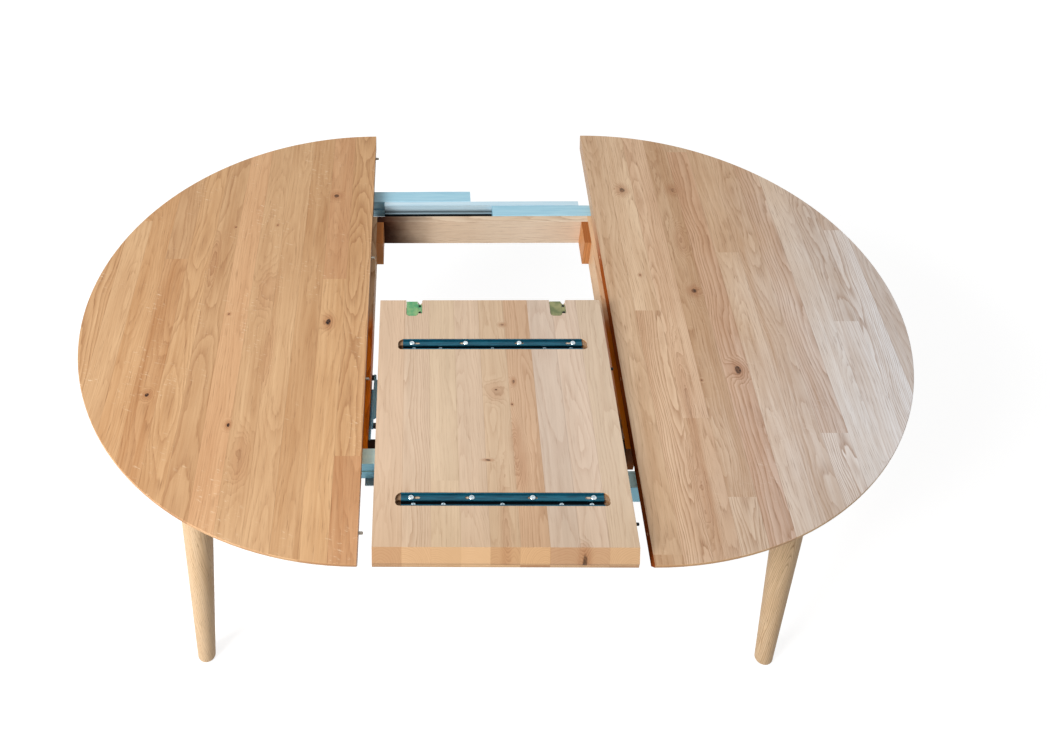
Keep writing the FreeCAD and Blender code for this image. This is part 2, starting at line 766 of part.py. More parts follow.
def hinge_notch(x):
    """What is cut out of the leaf for a hinge cup, its flange, its screws and the V beside it."""
    half = hinge_cup_width / 2 + hinge_notch_gap
    back = -hinge_cup_setback - hinge_cup_length - hinge_notch_gap
    crown = leaf_bottom + hinge_cup_sink + hinge_cup_depth
    notch = box((x - half, x + half), (back, over), (leaf_bottom - over, crown))
    notch = notch.makeFillet(hinge_cup_corner, back_corners(notch))
    pocket_x = (x, x + hinge_flange_side + hinge_notch_gap)
    pocket_y = (back + hinge_cup_corner, over)
    pocket = box(pocket_x, pocket_y, (leaf_bottom - over, hinge_flange_z + hinge_flange_thickness))
    low_x = x + hinge_cup_width / 2
    low_z = leaf_bottom - over
    outline = [
        V(low_x, over, low_z),
        V(low_x, 0, low_z),
        V(low_x + hinge_relief_width / 2, -hinge_relief_length, low_z),
        V(low_x + hinge_relief_width, 0, low_z),
        V(low_x + hinge_relief_width, over, low_z),
    ]
    relief = Part.Face(Part.makePolygon(outline + outline[:1])).extrude(V(0, 0, board_thickness + 2 * over))
    depth = hinge_flange_thickness + hinge_screw_bite
    pilots = [hole(place, (0, 0, 1), hinge_screw_radius, depth) for place in hinge_places(x)]
    return [notch, pocket, relief] + pilots


def hinge_middles():
    return -leaf_half + hinge_left_inset, leaf_half - hinge_right_inset


def leaf_board(brackets):
    """One layer of the leaf, as it lies unfolded on the near side, its end sloping in underneath."""
    slope_bottom = -radius + undercut_width
    outline = [
        V(-leaf_half, 0, leaf_bottom),
        V(-leaf_half, slope_bottom, leaf_bottom),
        V(-leaf_half, -radius, undercut_top),
        V(-leaf_half, -radius, leaf_top),
        V(-leaf_half, 0, leaf_top),
    ]
    board = Part.Face(Part.makePolygon(outline + outline[:1])).extrude(V(leaf_width, 0, 0))
    top_edges = [e for e in board.Edges if e.BoundBox.ZMin > leaf_top - same_place]
    board = board.makeFillet(edge_round, [e for e in top_edges if e.BoundBox.YMax < -radius + same_place])
    tools = []
    for x_low, x_high, y in leaf_channels():
        tools += channel_slot(x_low, x_high, y, leaf_bottom)
    for x in hinge_middles():
        tools += hinge_notch(x)
    for y in (-pin_inner_y, -pin_outer_y):
        tools.append(hole((-leaf_half, y, pin_z), (1, 0, 0), bore_radius, bore_depth))
        tools.append(hole((leaf_half, y, pin_z), (-1, 0, 0), pin_radius, pin_seat))
    if brackets:
        depth = bracket_thickness + bracket_screw_bite
        places = bracket_screw_places(-1) + bracket_screw_places(1)
        tools += [hole(place, (0, 0, 1), small_screw_radius, depth) for place in places]
    return cut_all(board, tools)


def locating_pin(edge_x, way, y):
    """A round pin standing out of an edge, its tip chamfered."""
    pin = rod((edge_x - way * pin_seat, y, pin_z), (edge_x + way * pin_reach, y, pin_z), pin_radius)
    tip_x = edge_x + way * pin_reach
    at_tip = [e for e in pin.Edges if abs(e.BoundBox.Center.x - tip_x) < same_place]
    return pin.makeChamfer(pin_chamfer, at_tip)


def leaf_pins():
    return [locating_pin(leaf_half, 1, y) for y in (-pin_inner_y, -pin_outer_y)]


# Write every node ------------------------------------------------------------------------------

side_names = {-1: "left", 1: "right"}
row_names = {-1: "front", 1: "back"}

for side, side_name in side_names.items():
    save("top_" + side_name, half_board(side))
    save("leg_bolts_" + side_name, hanger(side, -1), hanger(side, 1))
    save("leg_plate_screws_" + side_name, *plate_screws(side))
    save("foot_glides_" + side_name, foot_glide(side, -1), foot_glide(side, 1))
    save("runner_screws_" + side_name, *runner_screws(side))
    places = half_channels(side)
    half_screws = [s for place in places for s in channel_screws(*place, board_bottom)]
    save("top_channels_" + side_name, *[channel(*place, board_bottom) for place in places])
    save("top_channel_screws_" + side_name, *half_screws)
    outer_runner = sliding_runner(side, -side, outer_lane_low, outer_lane_high)
    inner_runner = sliding_runner(side, side, inner_lane_high, inner_lane_low)
    save("runner_outer_" + row_names[-side], outer_runner)
    save("runner_inner_" + row_names[side], inner_runner)
    save("cross_rail_" + side_name, cross_rail(side))
    save("swing_arm_front_" + side_name, swing_arm(side, outer_arm_low, outer_arm_high, 0))
    save("swing_arm_rear_" + side_name, swing_arm(side, inner_arm_low, inner_arm_high, arm_spacing))
    save("leaf_bracket_" + side_name, leaf_bracket(side))
    for row, row_name in row_names.items():
        save("leg_" + row_name + "_" + side_name, leg(side, row))
        save("leg_plate_" + row_name + "_" + side_name, leg_plate(side, row))

for row, row_name in row_names.items():
    save("apron_" + row_name, apron(row))
    save("runner_middle_" + row_name, middle_runner(row))

left_pins = [locating_pin(-half_opening, 1, y) for y in pin_rows((pin_inner_y, pin_outer_y))]
save("top_pins_left", *left_pins)
save("corner_blocks", corner_block(-1), corner_block(1))
save("frame_screws", *frame_screws())
save("runner_middle_screws", *middle_screws())
save("frame_pivot_studs", *[frame_stud(side, i) for side in (-1, 1) for i in (0, 1)])
save("frame_pivot_collars", frame_collar(-1), frame_collar(1))
save("leaf_pivot_studs", *[leaf_stud(side, i) for side in (-1, 1) for i in (0, 1)])
save("leaf_pivot_collars", *[leaf_collar(side, i) for side in (-1, 1) for i in (0, 1)])
save("leaf_bracket_screws", *bracket_screws())

layer_pieces = {
    "channels": [channel(*place, leaf_bottom) for place in leaf_channels()],
    "channel_screws": [s for place in leaf_channels() for s in channel_screws(*place, leaf_bottom)],
    "pins": leaf_pins(),
    "hinge_cups": [hinge_cup(x) for x in hinge_middles()],
    "hinge_screws": [s for x in hinge_middles() for s in hinge_screws(x)],
}
save("leaf_lower", leaf_board(True))
save("leaf_upper", flipped(leaf_board(False)))
for name, pieces in layer_pieces.items():
    save("leaf_" + name + "_lower", *pieces)
    save("leaf_" + name + "_upper", *[flipped(p) for p in pieces])
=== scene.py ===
import json
import math
from collections import namedtuple

import bmesh
import bpy
from mathutils import Matrix, Vector

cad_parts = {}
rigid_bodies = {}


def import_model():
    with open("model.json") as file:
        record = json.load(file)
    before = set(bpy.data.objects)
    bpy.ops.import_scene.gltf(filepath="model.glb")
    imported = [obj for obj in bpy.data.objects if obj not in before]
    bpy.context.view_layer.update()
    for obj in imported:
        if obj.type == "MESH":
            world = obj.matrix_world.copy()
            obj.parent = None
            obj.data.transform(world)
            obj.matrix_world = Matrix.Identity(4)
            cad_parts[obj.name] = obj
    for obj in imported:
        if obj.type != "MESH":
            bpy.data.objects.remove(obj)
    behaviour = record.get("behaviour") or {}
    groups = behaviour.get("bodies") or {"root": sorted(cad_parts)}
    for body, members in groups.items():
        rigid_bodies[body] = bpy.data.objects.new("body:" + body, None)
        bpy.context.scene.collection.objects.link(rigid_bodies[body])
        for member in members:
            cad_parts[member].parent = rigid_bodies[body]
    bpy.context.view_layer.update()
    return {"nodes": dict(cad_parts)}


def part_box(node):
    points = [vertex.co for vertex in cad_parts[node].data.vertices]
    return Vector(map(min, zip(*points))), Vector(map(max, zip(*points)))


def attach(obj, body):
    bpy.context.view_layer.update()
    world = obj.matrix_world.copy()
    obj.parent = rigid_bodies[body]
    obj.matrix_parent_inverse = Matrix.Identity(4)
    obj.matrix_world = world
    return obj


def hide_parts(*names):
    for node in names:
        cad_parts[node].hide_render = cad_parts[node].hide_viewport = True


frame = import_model()

# Camera, fitted to the outline of the table: its place in metres, its angles in radians, its lens and
# sensor in mm, and its shifts as shares of the sensor's width
CAMERA_PLACE = Vector((-0.140463, -1.589571, 2.419128))
CAMERA_PITCH = 0.759862322
CAMERA_YAW = -0.0266412690
CAMERA_ROLL = -0.0207512579
CAMERA_LENS = 37.54
CAMERA_SENSOR = 36.0
CAMERA_SHIFT_X = 0.1182
CAMERA_SHIFT_Y = -0.1104


def height_of(name):
    low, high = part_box(name)
    return high.z - low.z


def middle_of(name):
    low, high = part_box(name)
    return (low + high) / 2


# Places taken from the frame, in metres
LEAF_LOW, LEAF_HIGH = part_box("leaf_upper")
LEFT_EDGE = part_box("top_left")[1].x
RIGHT_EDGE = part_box("top_right")[0].x
RUNNER_DEPTH = height_of("runner_inner_back")
LEAF_STAVES = 9
STAVE_WIDTH = (LEAF_HIGH.x - LEAF_LOW.x) / LEAF_STAVES


def rgb(red, green, blue):
    """A colour given as 0-255 screen values, as the linear colour that nodes take."""
    def linear(value):
        value /= 255.0
        return value / 12.92 if value <= 0.04045 else ((value + 0.055) / 1.055) ** 2.4
    return (linear(red), linear(green), linear(blue), 1.0)


# ---------------------------------------------------------------- node helpers


class Net:
    """Short names for building a shader node tree."""

    def __init__(self, tree):
        self.tree = tree

    def node(self, kind, **settings):
        made = self.tree.nodes.new(kind)
        for name, value in settings.items():
            setattr(made, name, value)
        return made

    def feed(self, socket, value):
        if isinstance(value, bpy.types.NodeSocket):
            self.tree.links.new(value, socket)
        elif value is not None:
            socket.default_value = value

    def math(self, operation, *values, clamp=False):
        made = self.node("ShaderNodeMath", operation=operation, use_clamp=clamp)
        for socket, value in zip(made.inputs, values):
            self.feed(socket, value)
        return made.outputs[0]

    def add(self, *values):
        total = values[0]
        for value in values[1:]:
            total = self.math("ADD", total, value)
        return total

    def mul(self, *values):
        total = values[0]
        for value in values[1:]:
            total = self.math("MULTIPLY", total, value)
        return total

    def sub(self, a, b):
        return self.math("SUBTRACT", a, b)

    def vector(self, operation, a, b=None, scale=None):
        made = self.node("ShaderNodeVectorMath", operation=operation)
        self.feed(made.inputs[0], a)
        self.feed(made.inputs[1], b)
        if scale is not None:
            self.feed(made.inputs["Scale"], scale)
        return made.outputs["Value" if operation in ("LENGTH", "DOT_PRODUCT") else "Vector"]

    def combine(self, x, y, z):
        made = self.node("ShaderNodeCombineXYZ")
        for socket, value in zip(made.inputs, (x, y, z)):
            self.feed(socket, value)
        return made.outputs[0]

    def split(self, vector):
        made = self.node("ShaderNodeSeparateXYZ")
        self.feed(made.inputs[0], vector)
        return made.outputs

    def noise(self, vector, scale=1.0, detail=2.0, roughness=0.5, colour=False):
        made = self.node("ShaderNodeTexNoise")
        self.feed(made.inputs["Vector"], vector)
        self.feed(made.inputs["Scale"], scale)
        self.feed(made.inputs["Detail"], detail)
        self.feed(made.inputs["Roughness"], roughness)
        return made.outputs["Color" if colour else "Fac"]

    def random(self, value):
        made = self.node("ShaderNodeTexWhiteNoise", noise_dimensions="1D")
        self.feed(made.inputs["W"], value)
        return self.split(made.outputs["Color"])

    def fade(self, value, low, high, start=0.0, end=1.0):
        """Smooth step of value from start at low to end at high."""
        made = self.node("ShaderNodeMapRange", interpolation_type="SMOOTHSTEP")
        for socket, number in zip(made.inputs, (value, low, high, start, end)):
            self.feed(socket, number)
        return made.outputs[0]

    def mix(self, factor, a, b, blend="MIX"):
        made = self.node("ShaderNodeMix", data_type="RGBA", blend_type=blend)
        self.feed(made.inputs["Factor"], factor)
        self.feed(made.inputs["A"], a)
        self.feed(made.inputs["B"], b)
        return next(s for s in made.outputs if s.type == "RGBA")


def new_group(name, inputs, outputs):
    """An empty node group with the named sockets, and its inputs and outputs."""
    kinds = {"f": "NodeSocketFloat", "v": "NodeSocketVector", "c": "NodeSocketColor"}
    tree = bpy.data.node_groups.new(name, "ShaderNodeTree")
    for socket, kind in inputs.items():
        tree.interface.new_socket(name=socket, in_out="INPUT", socket_type=kinds[kind])
    for socket, kind in outputs.items():
        tree.interface.new_socket(name=socket, in_out="OUTPUT", socket_type=kinds[kind])
    given = tree.nodes.new("NodeGroupInput").outputs
    wanted = tree.nodes.new("NodeGroupOutput").inputs
    return tree, given, wanted


def new_material(name):
    material = bpy.data.materials.new(name)
    material.use_nodes = True
    tree = material.node_tree
    shader = next(n for n in tree.nodes if n.type == "BSDF_PRINCIPLED")
    return material, Net(tree), shader


# ---------------------------------------------------------------- oak

# How often each part of the wood's figure repeats in a metre: across, along and through the boards
RIPPLE_WAVES = (55.0, 9.0, 55.0)
FIBRE_WAVES = (330.0, 6.0, 330.0)
PORE_WAVES = (620.0, 24.0, 620.0)
RAY_WAVES = (62.0, 210.0, 62.0)
RAY_ZONE_WAVES = (11.0, 6.0, 11.0)
CRACK_WAVES = (190.0, 150.0, 190.0)
PATCH_WAVES = (30.0, 3.2)
STREAK_WAVES = (150.0, 2.2)

# Growth rings, in metres: the spacing of the narrowest, how much more the widest have, and the tree's heart
RING_SPACING = 0.0022
RING_SPACING_RANGE = 0.0026
RING_RIPPLE = 0.006
HEART_BELOW = 0.006
HEART_SHIFT = 0.055
HEART_SINK = 0.05
HEART_WANDER_ACROSS = 0.07
HEART_WANDER_DOWN = 0.05
SEAM_HALF_WIDTH = 0.0007

# A knot's zones, as multiples of its half size: where each starts to show and where it is full
KNOT_CORE = (1.05, 0.55)
KNOT_HALO = (3.4, 0.7)
KNOT_PUSH = (4.2, 0.0)
KNOT_PUSH_REACH = 0.016
KNOT_WARP = 1.1

# How strongly each part of the figure tints the wood, shifts its tone, shows in its relief and dulls it
SHOW = {
    "pink": 0.35, "straw": 0.25, "ring": 0.7, "pore": 0.5, "ray": 0.65, "seam": 0.3, "end": 0.75,
    "end_ring": 0.35, "halo": 0.5, "halo_ring": 0.4,
}
TONE = {"patch": 1.25, "streak": 0.85, "fibre": 0.35}
RELIEF = {"fibre": 0.5, "pore": 0.9, "ring": 0.35, "knot": 1.2, "seam": 0.4}
GLOSS = {"face": 0.38, "fibre": 0.16, "pore": 0.12}

STAVE_PINK = rgb(216, 160, 132)
STAVE_STRAW = rgb(214, 196, 168)
RING_BROWN = rgb(152, 100, 60)
PORE_BROWN = rgb(128, 84, 52)
RAY_PALE = rgb(242, 216, 182)
SEAM_BROWN = rgb(120, 78, 48)
END_PALE = rgb(240, 198, 149)
END_DEEP = rgb(186, 136, 93)
END_RING = rgb(170, 112, 66)
HALO_BROWN = rgb(172, 112, 72)
HALO_RING = rgb(104, 62, 38)
CORE_BROWN = rgb(112, 74, 50)
CORE_CRACK = rgb(30, 22, 20)


def build_knot_group():
    """Masks of one knot, and how far it pushes the growth rings aside."""
    tree, given, wanted = new_group(
        "knot", {"Place": "v", "Centre": "v", "Size": "v"}, {"Push": "f", "Halo": "f", "Core": "f"}
    )
    net = Net(tree)
    away = net.vector("SUBTRACT", given["Place"], given["Centre"])
    scaled = net.vector("DIVIDE", away, given["Size"])
    cloud = net.noise(given["Place"], 55.0, 2.0, 0.6, colour=True)
    warp = net.vector("SUBTRACT", cloud, (0.5, 0.5, 0.5))
    x, y, _ = net.split(net.vector("ADD", scaled, net.vector("SCALE", warp, scale=KNOT_WARP)))
    reach = net.vector("LENGTH", net.combine(x, y, 0.0))
    net.feed(wanted["Core"], net.fade(reach, *KNOT_CORE))
    net.feed(wanted["Halo"], net.fade(reach, *KNOT_HALO))
    net.feed(wanted["Push"], net.fade(reach, *KNOT_PUSH, 0.0, KNOT_PUSH_REACH))
    return tree


def stave_layout(net, given):
    """Staves side by side, each glued up from shorter lengths, with chance values for every length.

    Returns the place across the stave, the place along it, the length's number, two sets of chances
    and the mask of the glued seams.
    """
    x, y, _ = net.split(given["Place"])
    across = net.add(net.math("DIVIDE", x, given["Stave"]), 0.5)
    column = net.math("FLOOR", across)
    inside = net.mul(net.sub(net.math("FRACT", across), 0.5), given["Stave"])
    column_chance = net.random(net.add(column, given["Seed"]))
    lengths = net.add(net.math("DIVIDE", y, given["Length"]), net.mul(column_chance[0], 9.0))
    index = net.add(column, net.mul(net.math("FLOOR", lengths), 37.0), given["Seed"])
    first = net.random(index)
    second = net.random(net.add(index, 53.1))
    along = net.add(y, net.mul(first[0], 7.0))
    to_seam = net.sub(net.mul(given["Stave"], 0.5), net.math("ABSOLUTE", inside))
    return inside, along, index, first, second, net.fade(to_seam, SEAM_HALF_WIDTH, 0.0)


def growth_rings(net, given, inside, along, index, first, second):
    """Dark lines of the growth rings round a heart that wanders beside the board: line and its strength."""
    z = net.split(given["Place"])[2]
    wander = net.combine(net.mul(index, 5.3), net.mul(along, 1.9), given["Seed"])
    bends = net.split(net.noise(wander, 1.0, 2.0, 0.5, True))
    heart_x = net.add(
        net.mul(net.sub(first[1], 0.5), HEART_SHIFT), net.mul(net.sub(bends[0], 0.5), HEART_WANDER_ACROSS),
    )
    heart_z = net.add(
        HEART_BELOW, net.mul(first[2], HEART_SINK), net.mul(net.sub(bends[1], 0.5), HEART_WANDER_DOWN),
    )
    radius = net.vector("LENGTH", net.combine(net.add(inside, heart_x), 0.0, net.add(z, heart_z)))
    waves = net.noise(net.vector("MULTIPLY", given["Place"], RIPPLE_WAVES), 1.0, 3.0, 0.55)
    ripple = net.mul(net.sub(waves, 0.5), RING_RIPPLE)
    spacing = net.add(RING_SPACING, net.mul(second[0], RING_SPACING_RANGE))
    ring = net.math("DIVIDE", net.add(radius, ripple, given["Push"]), spacing)
    unevenness = net.noise(net.combine(net.mul(ring, 0.45), index, 3.0), 1.0, 1.0)
    phase = net.math("FRACT", net.add(ring, net.mul(unevenness, 1.6)))
    line = net.mul(net.math("POWER", net.sub(1.0, phase), 2.2), net.fade(phase, 0.0, 0.09))
    strength = net.add(0.3, net.mul(net.math("POWER", second[1], 1.5), 0.7))
    return line, net.mul(line, strength, given["Contrast"])


def pale_rays(net, given):
    """Short slanting ray flecks that come in zones."""
    x, y, z = net.split(given["Place"])
    slanted = net.combine(x, net.add(y, net.mul(x, 0.35)), z)
    ray = net.noise(net.vector("MULTIPLY", slanted, RAY_WAVES), 1.0, 3.0, 0.65)
    zone = net.noise(net.vector("MULTIPLY", given["Place"], RAY_ZONE_WAVES), 1.0, 2.0)
    return net.mul(net.fade(ray, 0.58, 0.7), net.fade(zone, 0.5, 0.64), given["Rays"])


def end_grain(net, given, line, chance):
    """Colour and mask of the faces across the grain: warmer, and each block with its own tone."""
    facing = net.vector("DOT_PRODUCT", given["Normal"], (0.0, 1.0, 0.0))
    mask = net.fade(net.math("ABSOLUTE", facing), 0.25, 0.6)
    block = net.mix(chance, END_PALE, END_DEEP)
    block = net.mix(net.mul(line, SHOW["end_ring"]), block, END_RING)
    return net.mix(1.0, block, given["End"], "MULTIPLY"), mask


def with_knots(net, given, colour, line):
    """The colour with each knot's brown halo, the darker rings in it, and its cracked core."""
    colour = net.mix(net.mul(given["Halo"], SHOW["halo"]), colour, HALO_BROWN)
    colour = net.mix(net.mul(given["Halo"], line, SHOW["halo_ring"]), colour, HALO_RING)
    crack = net.noise(net.vector("MULTIPLY", given["Place"], CRACK_WAVES), 1.0, 3.0, 0.6)
    core = net.mix(net.fade(crack, 0.42, 0.56), CORE_BROWN, CORE_CRACK)
    return net.mix(given["Core"], colour, core)


def build_oak_group():
    """Colour, height and roughness of glued oak: the grain along Y, and the staves side by side along X."""
    numbers = ("Stave", "Length", "Seed", "Contrast", "Spread", "Rays", "Push", "Halo", "Core")
    sockets = {"Place": "v", "Normal": "v", "Pale": "c", "Deep": "c", "End": "c"}
    sockets.update({name: "f" for name in numbers})
    tree, given, wanted = new_group("oak", sockets, {"Colour": "c", "Height": "f", "Gloss": "f"})
    net = Net(tree)
    inside, along, index, first, second, seam = stave_layout(net, given)
    line, grain = growth_rings(net, given, inside, along, index, first, second)

    fibre = net.noise(net.vector("MULTIPLY", given["Place"], FIBRE_WAVES), 1.0, 3.0, 0.6)
    pore = net.noise(net.vector("MULTIPLY", given["Place"], PORE_WAVES), 1.0, 2.0, 0.6)
    pore = net.mul(net.fade(pore, 0.54, 0.7), net.add(0.3, net.mul(line, 0.7)))
    patch, streak = (
        net.noise(net.combine(net.mul(inside, wide), net.mul(along, long), index), 1.0, 3.0, roughness)
        for (wide, long), roughness in ((PATCH_WAVES, 0.55), (STREAK_WAVES, 0.6))
    )

    # The face's tone: its length's own, then patches, streaks and fibres
    tone = net.add(
        0.5, net.mul(net.sub(first[2], 0.5), given["Spread"]), net.mul(net.sub(patch, 0.5), TONE["patch"]),
        net.mul(net.sub(streak, 0.5), TONE["streak"]), net.mul(net.sub(fibre, 0.5), TONE["fibre"]),
    )
    pink = net.mul(net.fade(second[2], 0.6, 1.0), given["Spread"], SHOW["pink"])
    straw = net.mul(net.fade(second[2], 0.4, 0.0), given["Spread"], SHOW["straw"])
    colour = net.mix(net.math("ADD", tone, 0.0, clamp=True), given["Pale"], given["Deep"])
    colour = net.mix(pink, colour, STAVE_PINK)
    colour = net.mix(straw, colour, STAVE_STRAW)
    colour = net.mix(net.mul(grain, SHOW["ring"]), colour, RING_BROWN)
    colour = net.mix(net.mul(pore, given["Contrast"], SHOW["pore"]), colour, PORE_BROWN)
    colour = net.mix(net.mul(pale_rays(net, given), SHOW["ray"]), colour, RAY_PALE)
    colour = net.mix(net.mul(seam, SHOW["seam"]), colour, SEAM_BROWN)
    block, end = end_grain(net, given, line, second[0])
    colour = net.mix(net.mul(end, SHOW["end"]), colour, block)
    colour = with_knots(net, given, colour, line)

    lows = net.add(
        net.mul(pore, RELIEF["pore"]), net.mul(grain, RELIEF["ring"]),
        net.mul(given["Core"], RELIEF["knot"]), net.mul(seam, RELIEF["seam"]),
    )
    gloss = net.add(GLOSS["face"], net.mul(fibre, GLOSS["fibre"]), net.mul(pore, GLOSS["pore"]))
    net.feed(wanted["Colour"], colour)
    net.feed(wanted["Height"], net.sub(net.mul(fibre, RELIEF["fibre"]), lows))
    net.feed(wanted["Gloss"], gloss)
    return tree


KNOT_GROUP = build_knot_group()
OAK_GROUP = build_oak_group()

# Turns that bring a piece's grain, which runs along the named axis, onto Y
GRAIN_TURN = {"x": (0.0, 0.0, math.pi / 2), "y": (0.0, 0.0, 0.0), "z": (math.pi / 2, 0.0, 0.0)}
WHOLE = 0.4  # a stave wider than any single leg, rail or block
CLEAN = (1.0, 1.0, 1.0, 1.0)
# Painted deep orange shade for a half's sawn inner edge, in the slot beside the leaf
EDGE_PAINTED_SHADE = rgb(196, 116, 44)
# Dust and painted recess shade inside the cuts for the leaf's channels
GROOVE_DUST_AND_SHADE = rgb(176, 158, 140)
SOFT_EDGE = 0.002  # width over which the dust and painted shade in a groove fade out

# A knot's place on the board, the half width and half length of its core, and how dark the core is
Knot = namedtuple("Knot", "x y half_width half_length core")
# A painted sheen that pales and greys a board towards its rim: where that starts and ends, the factors on its
# colour, and how much
RimSheen = namedtuple("RimSheen", "start end factors amount")
# Cuts in both faces of a board: their range along x on both sides and along y, and the board's middle
Grooves = namedtuple("Grooves", "inner outer near far middle half_depth")
# A painted shade: a tint that grows along an axis (0, 1 or 2) between two places
PaintedShade = namedtuple("PaintedShade", "axis start end tint")


def tinted(net, amount, colour, tint):
    """The colour multiplied by a tint, as far as the amount says."""
    return net.mix(amount, colour, net.mix(1.0, colour, tint, "MULTIPLY"))


def stave_tones(net, across, stave, tones):
    """A colour for each stave, in order from the first stave's middle at 0."""
    ramp = net.node("ShaderNodeValToRGB")
    ramp.color_ramp.interpolation = "CONSTANT"
    spots = ramp.color_ramp.elements
    for i, tone in enumerate(tones):
        spot = spots[i] if i < len(spots) else spots.new(i / len(tones))
        spot.position = i / len(tones)
        spot.color = tone
    steps = net.math("DIVIDE", across, stave * len(tones))
    net.feed(ramp.inputs[0], net.add(steps, 0.5 / len(tones)))
    return ramp.outputs["Color"]


def knot_masks(net, place, centre, knots):
    """The push, halo and core of all the knots of a board together."""
    push, halo, core = 0.0, 0.0, 0.0
    for knot in knots:
        group = net.node("ShaderNodeGroup")
        group.node_tree = KNOT_GROUP
        net.feed(group.inputs["Place"], place)
        net.feed(group.inputs["Centre"], (knot.x - centre[0], knot.y - centre[1], 0.0))
        net.feed(group.inputs["Size"], (knot.half_width, knot.half_length, 1.0))
        push = net.add(push, group.outputs["Push"])
        halo = net.math("MAXIMUM", halo, net.mul(group.outputs["Halo"], 0.5 + 0.5 * knot.core))
        core = net.math("MAXIMUM", core, net.mul(group.outputs["Core"], knot.core))
    return push, halo, core


def with_painted_rim_sheen(net, colour, place, normal, rim_sheen):
    """The colour with a painted sheen: paler and greyer on the upper face towards the rim, in soft clouds."""
    across, back, _ = net.split(place)
    outward = net.sub(across, net.mul(back, 0.3))
    cloud = net.noise(place, 7.0, 2.0, 0.5)
    outward = net.add(outward, net.mul(net.sub(cloud, 0.5), 0.12))
    upward = net.fade(net.split(normal)[2], 0.3, 0.8)
    amount = net.mul(net.fade(outward, rim_sheen.start, rim_sheen.end, 0.0, rim_sheen.amount), upward)
    return tinted(net, amount, colour, rim_sheen.factors)


def shaded_edge_mask(net, place, normal, edge):
    """Mask of the sawn edge at x = edge, which gets a painted deep orange shade, except towards the back."""
    x, y, _ = net.split(place)
    facing = net.math("ABSOLUTE", net.split(normal)[0])
    near = net.fade(net.math("ABSOLUTE", net.sub(x, edge)), 0.004, 0.001)
    return net.mul(near, net.fade(facing, 0.5, 0.8), net.fade(y, 0.32, 0.14))


def with_groove_dust_and_shade(net, colour, place, grooves):
    """The colour, darker and greyer inside the cuts for the channels from dust and painted shade, and not on
    the faces round them.
    """
    x, y, z = net.split(place)
    side = net.math("ABSOLUTE", x)
    depth = net.sub(grooves.half_depth, net.math("ABSOLUTE", net.sub(z, grooves.middle)))
    inside = net.mul(
        net.fade(side, grooves.inner, grooves.inner + SOFT_EDGE),
        net.fade(side, grooves.outer, grooves.outer - SOFT_EDGE),
        net.fade(y, grooves.near, grooves.near + SOFT_EDGE),
        net.fade(y, grooves.far, grooves.far - SOFT_EDGE),
        net.fade(depth, 0.0006, 0.0025),
        net.fade(depth, 0.027, 0.024),
    )
    return tinted(net, net.mul(inside, 0.85), colour, GROOVE_DUST_AND_SHADE)


def with_painted_shade(net, colour, place, painted_shade):
    """The colour, with painted shade tinting it along one axis with a cloudy border."""
    cloud = net.noise(place, 24.0, 2.0)
    reach = net.add(net.split(place)[painted_shade.axis], net.mul(net.sub(cloud, 0.5), 0.04))
    return tinted(net, net.fade(reach, painted_shade.start, painted_shade.end), colour, painted_shade.tint)


def add_bump(net, shader, height, strength, distance):
    bump = net.node("ShaderNodeBump")
    net.feed(bump.inputs["Strength"], strength)
    net.feed(bump.inputs["Distance"], distance)
    net.feed(bump.inputs["Height"], height)
    net.feed(shader.inputs["Normal"], bump.outputs[0])


